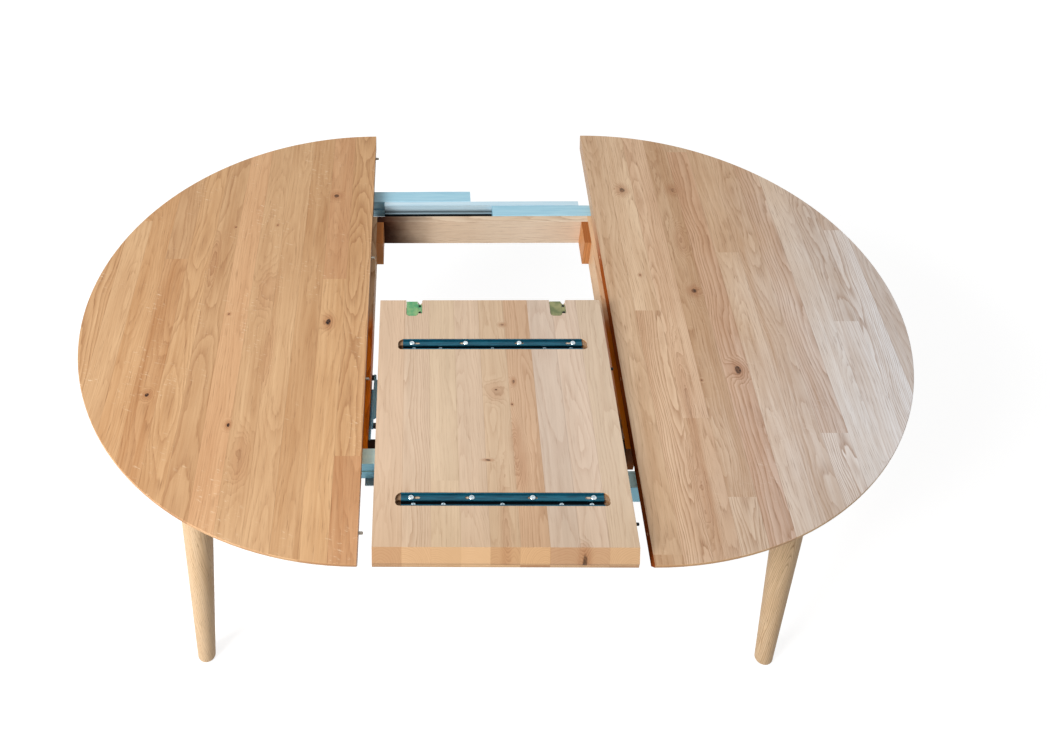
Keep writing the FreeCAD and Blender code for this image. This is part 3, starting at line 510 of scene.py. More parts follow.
def oak(name, pale, deep, grain="y", centre=(0.0, 0.0, 0.0), stave=WHOLE, length=3.0, seed=1.0, contrast=1.0,
        spread=0.8, rays=0.0, knots=(), tones=(), rim_sheen=None, edge=None, end=CLEAN, grooves=None, painted_shade=None,
        shine=0.2):
    """Oiled oak with its grain along the named axis, and a stave's middle at centre.

    Length is how long the glued-up pieces of a stave are. Spread is how much their tones differ.
    Contrast is the strength of the rings and pores, and rays that of the ray flecks. Tones colour the
    staves one by one from the first stave's middle. Edge is the x of a sawn edge that gets a painted
    deep orange shade. End tints the end grain. Shine is the strength of the reflections.
    """
    material, net, shader = new_material(name)
    coordinates = net.node("ShaderNodeTexCoord").outputs
    place, normal = coordinates["Object"], coordinates["Normal"]
    turned = []
    for vector in (net.vector("SUBTRACT", place, centre), normal):
        turn = net.node("ShaderNodeVectorRotate", rotation_type="EULER_XYZ")
        net.feed(turn.inputs["Vector"], vector)
        net.feed(turn.inputs["Rotation"], GRAIN_TURN[grain])
        turned.append(turn.outputs[0])
    if tones:
        tone = stave_tones(net, net.split(net.vector("SUBTRACT", place, centre))[0], stave, tones)
        pale = net.mix(1.0, tone, pale, "MULTIPLY")
        deep = net.mix(1.0, tone, deep, "MULTIPLY")
    push, halo, core = knot_masks(net, turned[0], centre, knots)
    wood = net.node("ShaderNodeGroup")
    wood.node_tree = OAK_GROUP
    values = {
        "Place": turned[0], "Normal": turned[1], "Stave": stave, "Length": length, "Seed": seed,
        "Contrast": contrast, "Spread": spread, "Rays": rays, "Push": push, "Halo": halo, "Core": core,
        "Pale": pale, "Deep": deep, "End": end,
    }
    for key, value in values.items():
        net.feed(wood.inputs[key], value)
    colour = wood.outputs["Colour"]
    # Painted sheen towards the rim
    if rim_sheen:
        colour = with_painted_rim_sheen(net, colour, place, normal, rim_sheen)
    # Painted deep shade on the sawn edge, with less shine there
    if edge is not None:
        shaded_edge = shaded_edge_mask(net, place, normal, edge)
        colour = tinted(net, net.mul(shaded_edge, 0.95), colour, EDGE_PAINTED_SHADE)
        shine = net.mul(net.sub(1.0, shaded_edge), shine)
    # Dust and painted recess shade inside the channel cuts
    if grooves:
        colour = with_groove_dust_and_shade(net, colour, place, grooves)
    # Painted shade along one axis
    if painted_shade:
        colour = with_painted_shade(net, colour, place, painted_shade)
    add_bump(net, shader, wood.outputs["Height"], 0.35, 0.0004)
    net.feed(shader.inputs["Base Color"], colour)
    net.feed(shader.inputs["Roughness"], wood.outputs["Gloss"])
    net.feed(shader.inputs["Specular IOR Level"], shine)
    return material


# ---------------------------------------------------------------- metals

# Painted shade in a metal piece's hollow: the level where it starts, the one where it is full, and its colour
Trough = namedtuple("Trough", "opening depth grime")


def with_trough(net, colour, place, normal, cloud, trough, inward):
    """The colour, with painted shade darkening it towards the deep end of a trough, and with inward only on
    its inner faces.
    """
    level = net.add(net.split(place)[2], net.mul(net.sub(cloud, 0.5), 0.002))
    amount = net.fade(level, trough.opening, trough.depth)
    if inward:
        turned = net.mul(net.split(normal)[1], net.split(place)[1])
        amount = net.mul(amount, net.fade(turned, 0.1, -0.1))
    return net.mix(amount, colour, trough.grime)


def metal(name, light, dark, roughness, metallic=1.0, brushed=(1.0, 1.0, 1.0), scale=60.0, spots=0.35,
          trough=None, inward=False, right=None, ends=None, sides=None):
    """Plated or painted steel, or plastic: two close colours in cloudy patches, and fine scratches.

    Brushed stretches the patches and scratches along an axis. Right is a second pair of colours for
    the pieces at positive x. Ends is a darker colour painted as shade on the faces along x, and sides
    a colour painted as light on the faces along y. Inward keeps the trough's painted shade to the faces
    towards the table's middle.
    """
    material, net, shader = new_material(name)
    coordinates = net.node("ShaderNodeTexCoord").outputs
    place, normal = coordinates["Object"], coordinates["Normal"]
    stretched = net.vector("MULTIPLY", place, brushed)
    cloud = net.noise(stretched, scale, 3.0, 0.6)
    fine = net.noise(stretched, scale * 14.0, 2.0, 0.6)
    speck = net.noise(place, 900.0, 1.0, 0.5)
    blend = net.add(net.fade(cloud, 0.3, 0.7), net.mul(net.sub(fine, 0.5), spots))
    blend = net.math("ADD", blend, 0.0, clamp=True)
    colour = net.mix(blend, dark, light)
    if right:
        side = net.math("GREATER_THAN", net.split(place)[0], 0.0)
        colour = net.mix(side, colour, net.mix(blend, right[1], right[0]))
    # Painted shade on the faces along x, and painted light on those along y
    for axis, tint in ((0, ends), (1, sides)):
        if tint:
            facing = net.math("ABSOLUTE", net.split(normal)[axis])
            colour = net.mix(net.mul(net.fade(facing, 0.6, 0.9), 0.85), colour, tint)
    # Painted shade towards the bottom of a hollow
    if trough:
        colour = with_trough(net, colour, place, normal, cloud, trough, inward)
    rough = net.add(roughness - 0.06, net.mul(fine, 0.12), net.mul(net.fade(speck, 0.6, 0.75), 0.15))
    net.feed(shader.inputs["Base Color"], colour)
    net.feed(shader.inputs["Roughness"], rough)
    shader.inputs["Metallic"].default_value = metallic
    add_bump(net, shader, fine, 0.15, 0.0001)
    return material


# ---------------------------------------------------------------- finishes

# Knots and dark patches where the photograph shows them, in metres. A core of 0 is a patch of colour only.
LEFT_KNOTS = (
    Knot(x=-0.3367, y=-0.034, half_width=0.006, half_length=0.011, core=1.0),
    Knot(x=-0.6803, y=-0.2287, half_width=0.0045, half_length=0.006, core=1.0),
    Knot(x=-0.5116, y=-0.302, half_width=0.0035, half_length=0.005, core=1.0),
    Knot(x=-0.3401, y=0.3701, half_width=0.006, half_length=0.007, core=0.8),
    Knot(x=-0.5466, y=-0.0107, half_width=0.002, half_length=0.0025, core=0.9),
    Knot(x=-0.4696, y=0.2687, half_width=0.002, half_length=0.003, core=0.7),
    Knot(x=-0.4736, y=0.060, half_width=0.010, half_length=0.030, core=0.0),
    Knot(x=-0.4795, y=-0.3785, half_width=0.007, half_length=0.028, core=0.1),
    Knot(x=-0.452, y=-0.120, half_width=0.005, half_length=0.040, core=0.0),
    Knot(x=-0.600, y=0.150, half_width=0.004, half_length=0.030, core=0.0),
    Knot(x=-0.565, y=0.262, half_width=0.0016, half_length=0.002, core=0.9),
)
RIGHT_KNOTS = (
    Knot(x=0.485, y=-0.1652, half_width=0.008, half_length=0.011, core=0.9),
    Knot(x=0.438, y=0.0547, half_width=0.007, half_length=0.008, core=0.8),
    Knot(x=0.3298, y=0.3882, half_width=0.007, half_length=0.010, core=0.7),
    Knot(x=0.4467, y=0.3876, half_width=0.006, half_length=0.010, core=0.3),
    Knot(x=0.366, y=-0.440, half_width=0.006, half_length=0.050, core=0.0),
    Knot(x=0.372, y=-0.250, half_width=0.004, half_length=0.060, core=0.1),
    Knot(x=0.409, y=-0.191, half_width=0.002, half_length=0.002, core=0.8),
    Knot(x=0.436, y=0.215, half_width=0.006, half_length=0.020, core=0.0),
    Knot(x=0.3306, y=0.1035, half_width=0.002, half_length=0.003, core=0.8),
)
UPPER_KNOTS = (
    Knot(x=0.000, y=-0.244, half_width=0.008, half_length=0.011, core=0.06),
    Knot(x=0.001, y=-0.240, half_width=0.0022, half_length=0.0018, core=0.9),
    Knot(x=-0.0218, y=-0.4038, half_width=0.005, half_length=0.0016, core=0.9),
    Knot(x=0.036, y=-0.219, half_width=0.0025, half_length=0.005, core=0.6),
    Knot(x=0.022, y=-0.070, half_width=0.004, half_length=0.003, core=0.5),
    Knot(x=0.030, y=-0.275, half_width=0.0015, half_length=0.002, core=0.9),
    Knot(x=0.032, y=-0.360, half_width=0.005, half_length=0.020, core=0.0),
    Knot(x=0.037, y=-0.420, half_width=0.006, half_length=0.024, core=0.05),
    Knot(x=0.135, y=-0.598, half_width=0.005, half_length=0.010, core=0.8),
    Knot(x=0.002, y=-0.555, half_width=0.004, half_length=0.050, core=0.0),
)
# The lower layer's knots are hidden in the photograph
LOWER_KNOTS = (
    Knot(x=-0.110, y=-0.330, half_width=0.006, half_length=0.009, core=0.5),
    Knot(x=0.148, y=-0.165, half_width=0.003, half_length=0.004, core=0.8),
    Knot(x=-0.044, y=-0.082, half_width=0.002, half_length=0.003, core=0.9),
)

# The leaf's staves from left to right
LEAF_TONES = {
    "pinkish": rgb(213, 185, 158), "beige": rgb(212, 187, 162), "yellowish": rgb(212, 188, 160),
    "ringed": rgb(208, 181, 152), "brown": rgb(205, 172, 142), "greyish": rgb(208, 188, 170),
    "pale": rgb(216, 194, 174), "cream": rgb(214, 192, 168),
}
LEAF_ORDER = ("pinkish", "beige", "yellowish", "beige", "ringed", "brown", "greyish", "pale", "cream")
LEAF_SEEDS = {"leaf_upper": 23.0, "leaf_lower": 67.0}
LEAF_KNOTS = {"leaf_upper": UPPER_KNOTS, "leaf_lower": LOWER_KNOTS}
LEAF_PALE = (1.2, 1.2, 1.2, 1.0)  # factors on a stave's own tone
LEAF_DEEP = (0.95, 0.93, 0.91, 1.0)
FOLD_HEIGHT = 0.75  # the face where the leaf's two layers meet
CHANNEL_ENDS = (0.177, 0.215)  # |x| of the rounded ends of the cuts for the channels
CHANNEL_ROWS = (-0.53, -0.06)  # y from in front of the near cut to behind the far one
# The photograph's tops are a little darker towards the viewer
NEAR_SHADE_LEAF = PaintedShade(axis=1, start=-0.36, end=-0.60, tint=rgb(243, 239, 233))
NEAR_SHADE_RIGHT = PaintedShade(axis=1, start=-0.33, end=-0.58, tint=rgb(244, 240, 234))
# Painted cool sheen, a reflection of daylight, greying the right half towards its rim
RIM_SHEEN = RimSheen(start=0.38, end=0.90, factors=(1.06, 1.5, 2.35, 1.0), amount=0.82)


def make_top_oaks():
    """The half tops' finishes by slot: warm on the left, cooler on the right with a painted sheen greying it
    towards the rim.
    """
    half_stave = STAVE_WIDTH / 2
    left_middle = (LEFT_EDGE - half_stave, 0.0, middle_of("top_left").z)
    right_middle = (RIGHT_EDGE + half_stave, 0.0, middle_of("top_right").z)
    return {
        "oak_top_left": oak(
            "oak_warm", rgb(224, 182, 136), rgb(186, 136, 90), centre=left_middle, stave=STAVE_WIDTH,
            length=2.6, seed=3.0, rays=0.8, spread=0.5, knots=LEFT_KNOTS,
        ),
        "oak_top_right": oak(
            "oak_cool", rgb(237, 206, 172), rgb(196, 155, 118), centre=right_middle, stave=STAVE_WIDTH,
            length=1.5, seed=11.0, rays=0.3, spread=0.6, contrast=1.15, knots=RIGHT_KNOTS, edge=RIGHT_EDGE,
            rim_sheen=RIM_SHEEN, painted_shade=NEAR_SHADE_RIGHT,
        ),
    }


def make_leaf_oaks():
    """The finishes of the leaf's two layers, by node: the same staves, with their own figure and knots."""
    middle = (LEAF_LOW.x + STAVE_WIDTH / 2, 0.0, middle_of("leaf_upper").z)
    grooves = Grooves(*CHANNEL_ENDS, *CHANNEL_ROWS, middle=FOLD_HEIGHT, half_depth=LEAF_HIGH.z - FOLD_HEIGHT)
    return {
        name: oak(
            "oak_" + name, LEAF_PALE, LEAF_DEEP, centre=middle, stave=STAVE_WIDTH, seed=seed, contrast=0.6,
            spread=0.0, knots=LEAF_KNOTS[name], tones=[LEAF_TONES[tone] for tone in LEAF_ORDER],
            grooves=grooves, painted_shade=NEAR_SHADE_LEAF,
        )
        for name, seed in LEAF_SEEDS.items()
    }


# The frame's and legs' wood, by the start of a node's name. The aprons' and rails' end grain is dark,
# partly as painted shade, and painted shade lies on the back apron's left end, the whole front apron and the
# rails' near part.
# End grain of the aprons and rails, darker on its own and darkened further as painted shade
SHADED_END = rgb(84, 58, 40)
APRON = {"grain": "x", "pale": rgb(252, 236, 214), "deep": rgb(220, 190, 158), "end": SHADED_END}
EVERYWHERE = {"start": 2.0, "end": 1.0}  # both past the right end, so the whole piece is beyond them
FRAME_WOODS = {
    "apron_back": dict(APRON, painted_shade=PaintedShade(axis=0, start=-0.08, end=-0.23, tint=rgb(70, 38, 16))),
    "apron_front": dict(APRON, painted_shade=PaintedShade(axis=0, **EVERYWHERE, tint=rgb(44, 32, 24))),
    # The rails' near part, under the leaf, gets a painted deep orange shade with bounced light
    "cross_rail": {
        "grain": "y", "pale": rgb(242, 214, 178), "deep": rgb(216, 172, 126), "end": SHADED_END,
        "painted_shade": PaintedShade(axis=1, start=0.05, end=-0.04, tint=rgb(250, 168, 40)),
    },
    "corner_block": {
        "grain": "z", "pale": rgb(226, 162, 106), "deep": rgb(200, 134, 82), "end": rgb(214, 162, 112),
    },
    "leg_front": {"grain": "z", "pale": rgb(246, 216, 178), "deep": rgb(222, 186, 142)},
}
FRAME_WOODS["leg_back"] = FRAME_WOODS["leg_front"]
FRAME_SEED = 37.0


def make_frame_oaks():
    """The finishes of the legs and the frame, by node, each with its own figure."""
    by_node = {}
    for i, name in enumerate(sorted(frame["nodes"])):
        for start, wood in FRAME_WOODS.items():
            if name.startswith(start):
                centre = tuple(middle_of(name))
                seed = FRAME_SEED + i
                by_node[name] = oak("oak_" + name, centre=centre, seed=seed, spread=0.3, shine=0.05, **wood)
    return by_node


# Finishes that are used more than once
ALONG_X = (1.0, 12.0, 12.0)  # patches drawn out along x
ALONG_Y = (12.0, 1.0, 12.0)
# Near-black painted shade for the depths of the channels and raceways
TROUGH_SHADE = rgb(2, 12, 20)
# Darker teal painted as shade on the runners' faces along x
SHADED_END_BLUE = rgb(70, 148, 174)
BLUED = {
    "light": rgb(176, 218, 234), "dark": rgb(154, 204, 224), "roughness": 0.4, "metallic": 0.1,
    "brushed": ALONG_X, "scale": 9.0, "spots": 0.2, "ends": SHADED_END_BLUE,
}
# The front runners' blued steel, painted lighter, greener on top and bluer on the sides, to make up for the
# left half's shade over them
BLUED_PAINTED_LIGHT = dict(
    BLUED, light=rgb(216, 254, 255), dark=rgb(200, 246, 250), metallic=0.05, sides=rgb(138, 222, 255),
)
PETROL = {
    "light": rgb(16, 98, 120), "dark": rgb(6, 66, 86), "roughness": 0.3, "metallic": 0.35,
    "brushed": ALONG_X, "scale": 30.0,
}
RACEWAY = {
    "light": rgb(226, 244, 252), "dark": rgb(180, 218, 236), "roughness": 0.4, "metallic": 0.0,
    "brushed": (1.0, 160.0, 160.0), "scale": 9.0, "ends": SHADED_END_BLUE, "inward": True,
}
# Shares of a channel's depth where its painted shade starts and where it is full
CHANNEL_SHADE = (0.28, 0.62)
# Heights above a middle runner's underside where its painted shade starts and where it is full
RACEWAY_SHADE = (0.04, 0.025)


def make_metals():
    """The metal and plastic finishes, by slot."""
    return {
        "runner_metal": metal("steel_blued", **BLUED),
        "bright_steel": metal("steel_bright", rgb(228, 240, 244), rgb(190, 206, 214), 0.2),
        "black_steel": metal("steel_black", rgb(46, 50, 54), rgb(24, 26, 30), 0.4, 0.7),
        "dark_steel": metal("steel_petrol", **PETROL),
        "arm_steel": metal(
            "steel_arm", rgb(142, 218, 250), rgb(120, 204, 244), 0.4, 0.0, brushed=ALONG_Y, scale=30.0,
        ),
        "yellow_zinc": metal(
            "zinc_yellow", rgb(150, 186, 128), rgb(72, 158, 112), 0.3, 0.6, scale=45.0,
            right=(rgb(158, 156, 112), rgb(112, 122, 84)),
        ),
        "glide_plastic": metal("plastic_black", rgb(40, 40, 42), rgb(24, 24, 26), 0.5, 0.0),
    }


def channel_metal(name):
    """Petrol-coloured steel with painted black shade in the channel's depth, away from the face it opens on.
    """
    low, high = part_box(name)
    opening, bottom = (high.z, low.z) if name.endswith("upper") else (low.z, high.z)
    start, full = (opening + (bottom - opening) * share for share in CHANNEL_SHADE)
    return metal("steel_" + name, trough=Trough(start, full, TROUGH_SHADE), **PETROL)


def raceway_metal(name):
    """Ball-bearing raceway: bright drawn lines, and painted black shade low on the inner faces."""
    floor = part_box(name)[1].z - RUNNER_DEPTH
    start, full = (floor + height for height in RACEWAY_SHADE)
    return metal("steel_" + name, trough=Trough(start, full, TROUGH_SHADE), **RACEWAY)


def make_node_metals():
    """The metal finishes of single nodes, in place of their slot's."""
    # Painted light on the front runners
    blued_painted_light = metal("steel_greenish", **BLUED_PAINTED_LIGHT)
    by_node = {
        "top_pins_left": metal("steel_pin", rgb(188, 182, 170), rgb(130, 124, 114), 0.35),
        "runner_outer_front": blued_painted_light,
        "runner_inner_front": blued_painted_light,
    }
    for name in sorted(frame["nodes"]):
        if "channels" in name:
            by_node[name] = channel_metal(name)
        if name.startswith("runner_middle") and "screws" not in name:
            by_node[name] = raceway_metal(name)
    return by_node


def apply_finishes():
    """Put each node's own finish, or else its slot's, on the CAD meshes. Returns the finishes by slot."""
    by_slot = {**make_top_oaks(), **make_metals()}
    by_node = {**make_leaf_oaks(), **make_frame_oaks(), **make_node_metals()}
    for name, node in frame["nodes"].items():
        for slot in node.material_slots:
            key = slot.material.name.split(".")[0] if slot.material else ""
            slot.material = by_node.get(name) or by_slot[key]
    return by_slot


# ---------------------------------------------------------------- small hardware

TOUCHING = 1e-4  # corners closer than this count as level with each other, or as on an axis
AROUND_SCREW = 40  # corners round a turned form
AROUND_DIMPLE = 20
SHARP_ANGLE = math.radians(40)

# A pan head from its seat to its top edge: shares of its height and of its radius
HEAD_PROFILE = ((0.12, 1.0), (0.4, 0.98), (0.68, 0.88), (0.87, 0.74), (1.0, 0.58))
HEAD_SEAT = 0.96  # share of the head's radius at its seat
RIM_SHARE = 0.9  # corners beyond this share of the radius belong to the head
RECESS_TAPER = 0.8  # width of the cross recess halfway down, as a share of its width at the top
RECESS_MIDDLE = 0.5
RECESS_FLOOR = 0.45
RECESS_FLOOR_RADIUS = 0.08
POINT_RADIUS = 0.4  # radius of a screw's point, as a share of the shank's
POINT_LENGTH = 1.6  # length of the point, as a multiple of the shank's radius

# How much wider the heads on the leaf's channels are than the plain ones, and how much higher those of
# the sunken row
CHANNEL_HEADS = {"wide": 1.2, "tall": 1.8}
SUNKEN_ROW = 0.004  # a screw head this much deeper than the highest is in the sunken row

HINGE_CUP_WIDTH = 0.023
DIMPLE_PROFILE = ((0.0, 0.0018), (0.0002, 0.0016), (0.00035, 0.0011), (0.00045, 0.0004))  # height, radius
DIMPLE_SINK = 0.0001  # how far a dimple's foot is below the cup's face
# Places of a cup's dimples, from the middle of its width and from its edge at the fold
DIMPLE_PLACES = ((-0.006, -0.0125), (0.005, -0.021), (-0.0045, -0.032), (0.006, -0.0345))

ARM_END = 0.007  # radius of a swing arm's rounded ends
# Section of an arm's pressed lip, in mm: reach from the arm's face, and height above its middle line
LIP_SECTION = (
    (-0.1, 7.0), (6.4, 7.0), (7.3, 6.6), (7.7, 5.9), (7.3, 5.2), (6.4, 5.0), (1.2, 5.0), (0.4, 4.6),
    (-0.1, 3.8),
)
# The lip's run-out at each end: mm from the arm's pivot, and the share of the full reach there
LIP_RUN_OUT = ((14.0, 0.25), (16.0, 0.6), (20.0, 0.9), (26.0, 1.0))
MM = 0.001

# The measured form of a plain screw: its axis at the head's seat, which way the head points, and its sizes
Screw = namedtuple("Screw", "seat up head shank thick bite")


def body_of(name):
    return frame["nodes"][name].parent.name.split(":")[1]


def solids_of(name):
    """Places of the corners of each separate solid of a node, in order of the solids' low corners."""
    shape = bmesh.new()
    shape.from_mesh(frame["nodes"][name].data)
    bmesh.ops.remove_doubles(shape, verts=shape.verts, dist=1e-6)
    seen = set()
    groups = []
    for start in shape.verts:
        if start in seen:
            continue
        seen.add(start)
        reached = [start]
        group = []
        while reached:
            corner = reached.pop()
            group.append(corner.co.copy())
            for edge in corner.link_edges:
                other = edge.other_vert(corner)
                if other not in seen:
                    seen.add(other)
                    reached.append(other)
        groups.append(group)
    shape.free()
    return sorted(groups, key=lambda group: [round(min(corner[i] for corner in group), 3) for i in range(3)])


def cross_recess(angle):
    """Share of the head's radius that a cross recess reaches at an angle."""
    return 0.13 + 0.3 * abs(math.cos(2 * angle)) ** 5


def join_loops(shape, loops):
    """Close a form over a row of loops of corners, with a face at each end."""
    for low, high in zip(loops, loops[1:]):
        for i in range(len(low)):
            j = (i + 1) % len(low)
            shape.faces.new((low[i], low[j], high[j], high[i]))
    shape.faces.new(loops[0])
    shape.faces.new(loops[-1])


def add_rings(shape, centre, rings, up, around):
    """A closed turned form about a vertical axis: rings are (height above centre, radius at an angle)."""
    loops = []
    for height, reach in rings:
        loop = []
        for i in range(around):
            angle = 2 * math.pi * i / around
            wide = reach(angle) if callable(reach) else reach
            loop.append(shape.verts.new((
                centre.x + wide * math.cos(angle), centre.y + wide * math.sin(angle), centre.z + up * height,
            )))
        loops.append(loop)
    join_loops(shape, loops)


def finish_mesh(shape, name, body, material):
    bmesh.ops.recalc_face_normals(shape, faces=shape.faces)
    mesh = bpy.data.meshes.new(name)
    shape.to_mesh(mesh)
    shape.free()
    for face in mesh.polygons:
        face.use_smooth = True
    mesh.set_sharp_from_angle(angle=SHARP_ANGLE)
    mesh.materials.append(material)
    piece = bpy.data.objects.new(name, mesh)
    bpy.context.scene.collection.objects.link(piece)
    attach(piece, body)
    return piece


def measure_screw(corners):
    """The form of a plain upright screw, found from its corners."""
    xs, ys, zs = ([corner[axis] for corner in corners] for axis in range(3))
    seat = Vector(((min(xs) + max(xs)) / 2, (min(ys) + max(ys)) / 2, 0.0))
    reach = {corner: math.hypot(corner[0] - seat.x, corner[1] - seat.y) for corner in map(tuple, corners)}
    head = max(reach.values())
    top_reach = max(r for corner, r in reach.items() if max(zs) - corner[2] < TOUCHING)
    up = 1 if top_reach > head * RIM_SHARE else -1
    head_zs = [corner[2] for corner, r in reach.items() if r > head * RIM_SHARE]
    shank = min(r for r in reach.values() if r > TOUCHING)
    seat.z = min(head_zs) if up > 0 else max(head_zs)
    bite = seat.z - min(zs) if up > 0 else max(zs) - seat.z
    return Screw(seat, up, head, shank, max(head_zs) - min(head_zs), bite)


def screw_rings(screw, head, thick):
    """Rings of a turned screw from its point to the floor of its cross recess."""
    def recess(share):
        return lambda angle: head * share * cross_recess(angle)

    rings = [(-screw.bite, screw.shank * POINT_RADIUS)]
    rings += [(-screw.bite + screw.shank * POINT_LENGTH, screw.shank), (0.0, screw.shank)]
    rings += [(0.0, head * HEAD_SEAT)]
    rings += [(thick * height, head * radius) for height, radius in HEAD_PROFILE]
    rings += [(thick, recess(1.0)), (thick * RECESS_MIDDLE, recess(RECESS_TAPER))]
    return rings + [(thick * RECESS_FLOOR, head * RECESS_FLOOR_RADIUS)]


def make_screws(name, slot, material, wide=1.0, tall=1.0):
    """Pan-head screws with a cross recess, on the places and in the sizes of a node's plain screws.

    Wide is how much wider the turned heads are than the plain ones. Tall is how much higher the heads
    of the sunken row are.
    """
    shape = bmesh.new()
    solids = solids_of(name)
    highest = max(corner.z for corners in solids for corner in corners)
    lowest = min(corner.z for corners in solids for corner in corners)
    for corners in solids:
        screw = measure_screw(corners)
        zs = [corner.z for corner in corners]
        sunk = highest - max(zs) if screw.up > 0 else min(zs) - lowest
        thick = screw.thick * (tall if sunk > SUNKEN_ROW else 1.0)
        add_rings(shape, screw.seat, screw_rings(screw, screw.head * wide, thick), screw.up, AROUND_SCREW)
    piece = finish_mesh(shape, name + "_turned", body_of(name), material)
    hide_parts(name)


def make_dimples(name, up, material):
    """Small round studs pressed out of each hinge cup's face."""
    shape = bmesh.new()
    for corners in solids_of(name):
        xs, ys, zs = ([corner[axis] for corner in corners] for axis in range(3))
        face = min(zs) if up < 0 else max(zs)
        cup_x = min(xs) + HINGE_CUP_WIDTH / 2
        for x, y in DIMPLE_PLACES:
            foot = Vector((cup_x + x, max(ys) + y, face - up * DIMPLE_SINK))
            add_rings(shape, foot, DIMPLE_PROFILE, up, AROUND_DIMPLE)
    finish_mesh(shape, name + "_dimples", body_of(name), material)


def make_lip(name, inner, pivots, material):
    """A pressed lip along the upper edge of a swing arm, on the side of the leaf.

    Inner is the x of the arm's face towards the leaf. Pivots are the (y, z) of its two ends.
    """
    (start_y, start_z), (end_y, end_z) = pivots
    length = math.hypot(end_y - start_y, end_z - start_z)
    along = ((end_y - start_y) / length, (end_z - start_z) / length)
    upright = (along[1], -along[0]) if along[0] < 0 else (-along[1], along[0])
    side = math.copysign(1.0, inner)
    far_end = tuple((length / MM - place, share) for place, share in reversed(LIP_RUN_OUT))
    shape = bmesh.new()
    loops = []
    for place, share in LIP_RUN_OUT + far_end:
        loop = []
        for reach, height in LIP_SECTION:
            away = max(reach, 0.0) * share + min(reach, 0.0)
            loop.append(shape.verts.new((
                inner - side * away * MM,
                start_y + (along[0] * place + upright[0] * height) * MM,
                start_z + (along[1] * place + upright[1] * height) * MM,
            )))
        loops.append(loop)
    join_loops(shape, loops)
    finish_mesh(shape, name + "_lip", body_of(name), material)


# ---------------------------------------------------------------- stage, light, camera

FLOOR_REACH = 12.0
FLOOR_GREY = 0.4
FLOOR_LIFT = 0.82  # light the floor gives off to the camera, so that with the studio's light it is white
WORLD_LEFT = 0.5  # studio light from the left, from the right, and as the camera sees it
WORLD_RIGHT = 0.3
WORLD_SEEN = 1.0
LAMP_PLACE = (-2.8, -2.35, 3.35)
LAMP_TARGET = (0.0, 0.0, 0.7)
LAMP_SIZE = 2.0
LAMP_POWER = 200.0


def make_floor():
    mesh = bpy.data.meshes.new("floor")
    corners = [(x * FLOOR_REACH, y * FLOOR_REACH, 0) for x, y in ((-1, -1), (1, -1), (1, 1), (-1, 1))]
    mesh.from_pydata(corners, [], [(0, 1, 2, 3)])
    floor = bpy.data.objects.new("floor", mesh)
    bpy.context.scene.collection.objects.link(floor)
    material, net, shader = new_material("floor_white")
    output = next(n for n in net.tree.nodes if n.type == "OUTPUT_MATERIAL")
    shader.inputs["Base Color"].default_value = (FLOOR_GREY, FLOOR_GREY, FLOOR_GREY, 1.0)
    shader.inputs["Roughness"].default_value = 0.9
    shader.inputs["Specular IOR Level"].default_value = 0.0
    lift = net.node("ShaderNodeEmission")
    lift.inputs["Color"].default_value = (1.0, 1.0, 1.0, 1.0)
    rays = net.node("ShaderNodeLightPath").outputs
    seen = net.math("MAXIMUM", rays["Is Camera Ray"], rays["Is Glossy Ray"])
    net.feed(lift.inputs["Strength"], net.mul(seen, FLOOR_LIFT))
    total = net.node("ShaderNodeAddShader")
    net.feed(total.inputs[0], shader.outputs[0])
    net.feed(total.inputs[1], lift.outputs[0])
    net.feed(output.inputs["Surface"], total.outputs[0])
    mesh.materials.append(material)


def make_world():
    world = bpy.data.worlds.new("studio")
    bpy.context.scene.world = world
    world.use_nodes = True
    net = Net(world.node_tree)
    background = next(n for n in world.node_tree.nodes if n.type == "BACKGROUND")
    side = net.split(net.node("ShaderNodeTexCoord").outputs["Generated"])[0]
    soft = net.fade(side, -1.0, 1.0, WORLD_LEFT, WORLD_RIGHT)
    rays = net.node("ShaderNodeLightPath").outputs
    seen = net.math("MAXIMUM", rays["Is Camera Ray"], rays["Is Glossy Ray"])
    seen = net.math("MAXIMUM", seen, rays["Is Transmission Ray"])
    background.inputs["Color"].default_value = (1.0, 1.0, 1.0, 1.0)
    strength = net.add(net.mul(seen, WORLD_SEEN), net.mul(net.sub(1.0, seen), soft))
    net.feed(background.inputs["Strength"], strength)


def make_lamp():
    data = bpy.data.lights.new("key_left", "AREA")
    data.shape = "SQUARE"
    data.size = LAMP_SIZE
    data.energy = LAMP_POWER
    lamp = bpy.data.objects.new("key_left", data)
    lamp.location = LAMP_PLACE
    lamp.rotation_euler = (Vector(LAMP_TARGET) - Vector(LAMP_PLACE)).to_track_quat("-Z", "Y").to_euler()
    bpy.context.scene.collection.objects.link(lamp)


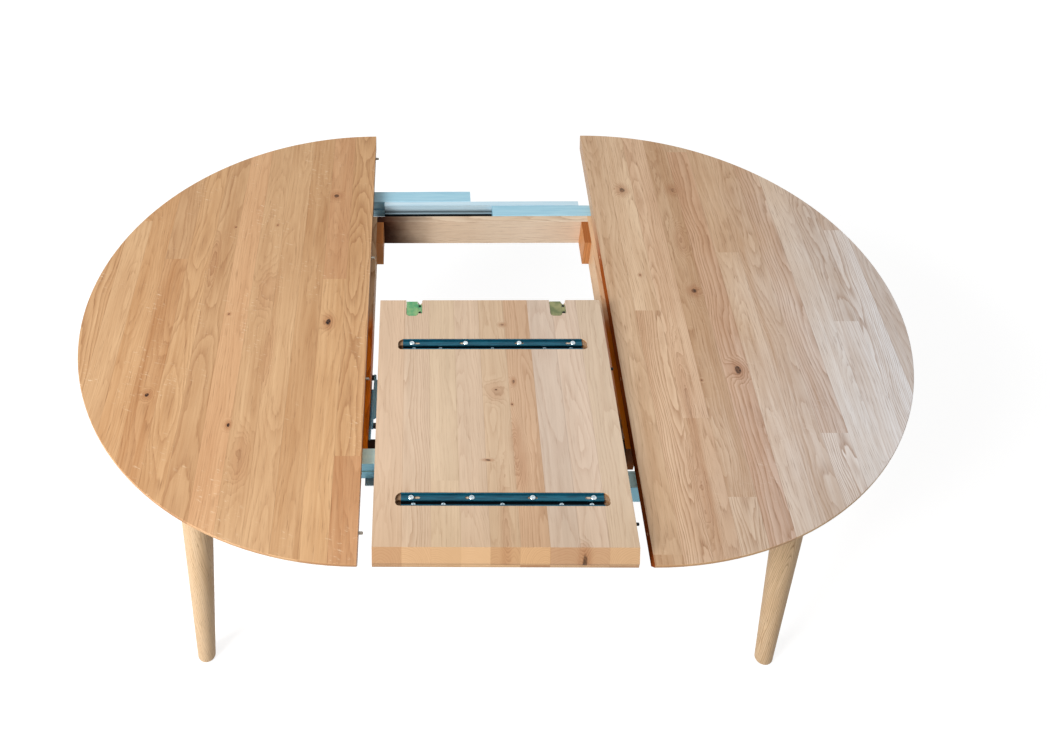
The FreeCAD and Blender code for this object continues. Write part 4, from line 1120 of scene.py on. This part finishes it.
def make_camera():
    sin_yaw, cos_yaw = math.sin(CAMERA_YAW), math.cos(CAMERA_YAW)
    sin_pitch, cos_pitch = math.sin(CAMERA_PITCH), math.cos(CAMERA_PITCH)
    forward = Vector((sin_yaw * cos_pitch, cos_yaw * cos_pitch, -sin_pitch))
    level = Vector((cos_yaw, -sin_yaw, 0.0))
    upright = level.cross(forward)
    right = math.cos(CAMERA_ROLL) * level + math.sin(CAMERA_ROLL) * upright
    up = math.cos(CAMERA_ROLL) * upright - math.sin(CAMERA_ROLL) * level
    data = bpy.data.cameras.new("camera")
    data.sensor_width = CAMERA_SENSOR
    data.lens = CAMERA_LENS
    data.shift_x = CAMERA_SHIFT_X
    data.shift_y = CAMERA_SHIFT_Y
    camera = bpy.data.objects.new("camera", data)
    turn = Matrix((right, up, -forward)).transposed().to_4x4()
    camera.matrix_world = Matrix.Translation(CAMERA_PLACE) @ turn
    bpy.context.scene.collection.objects.link(camera)
    bpy.context.scene.camera = camera


def make_hardware(finishes):
    """Every visual piece beside the CAD meshes: screws, hinge dimples and arm lips."""
    bright, black = finishes["bright_steel"], finishes["black_steel"]
    zinc, steel = finishes["yellow_zinc"], finishes["arm_steel"]
    for layer, up in (("lower", -1), ("upper", 1)):
        make_screws("leaf_channel_screws_" + layer, "bright_steel", bright, **CHANNEL_HEADS)
        make_screws("leaf_hinge_screws_" + layer, "black_steel", black)
        make_dimples("leaf_hinge_cups_" + layer, up, zinc)
    for side in ("left", "right"):
        make_screws("top_channel_screws_" + side, "bright_steel", bright)
        make_screws("leg_plate_screws_" + side, "bright_steel", bright)
    for side in ("left", "right"):
        arm = "swing_arm_rear_" + side
        low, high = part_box(arm)
        inner = high.x if side == "left" else low.x
        pivots = ((high.y - ARM_END, low.z + ARM_END), (low.y + ARM_END, high.z - ARM_END))
        make_lip(arm, inner, pivots, steel)


make_hardware(apply_finishes())
make_floor()
make_world()
make_lamp()
make_camera()
bpy.context.scene.view_settings.view_transform = "Standard"
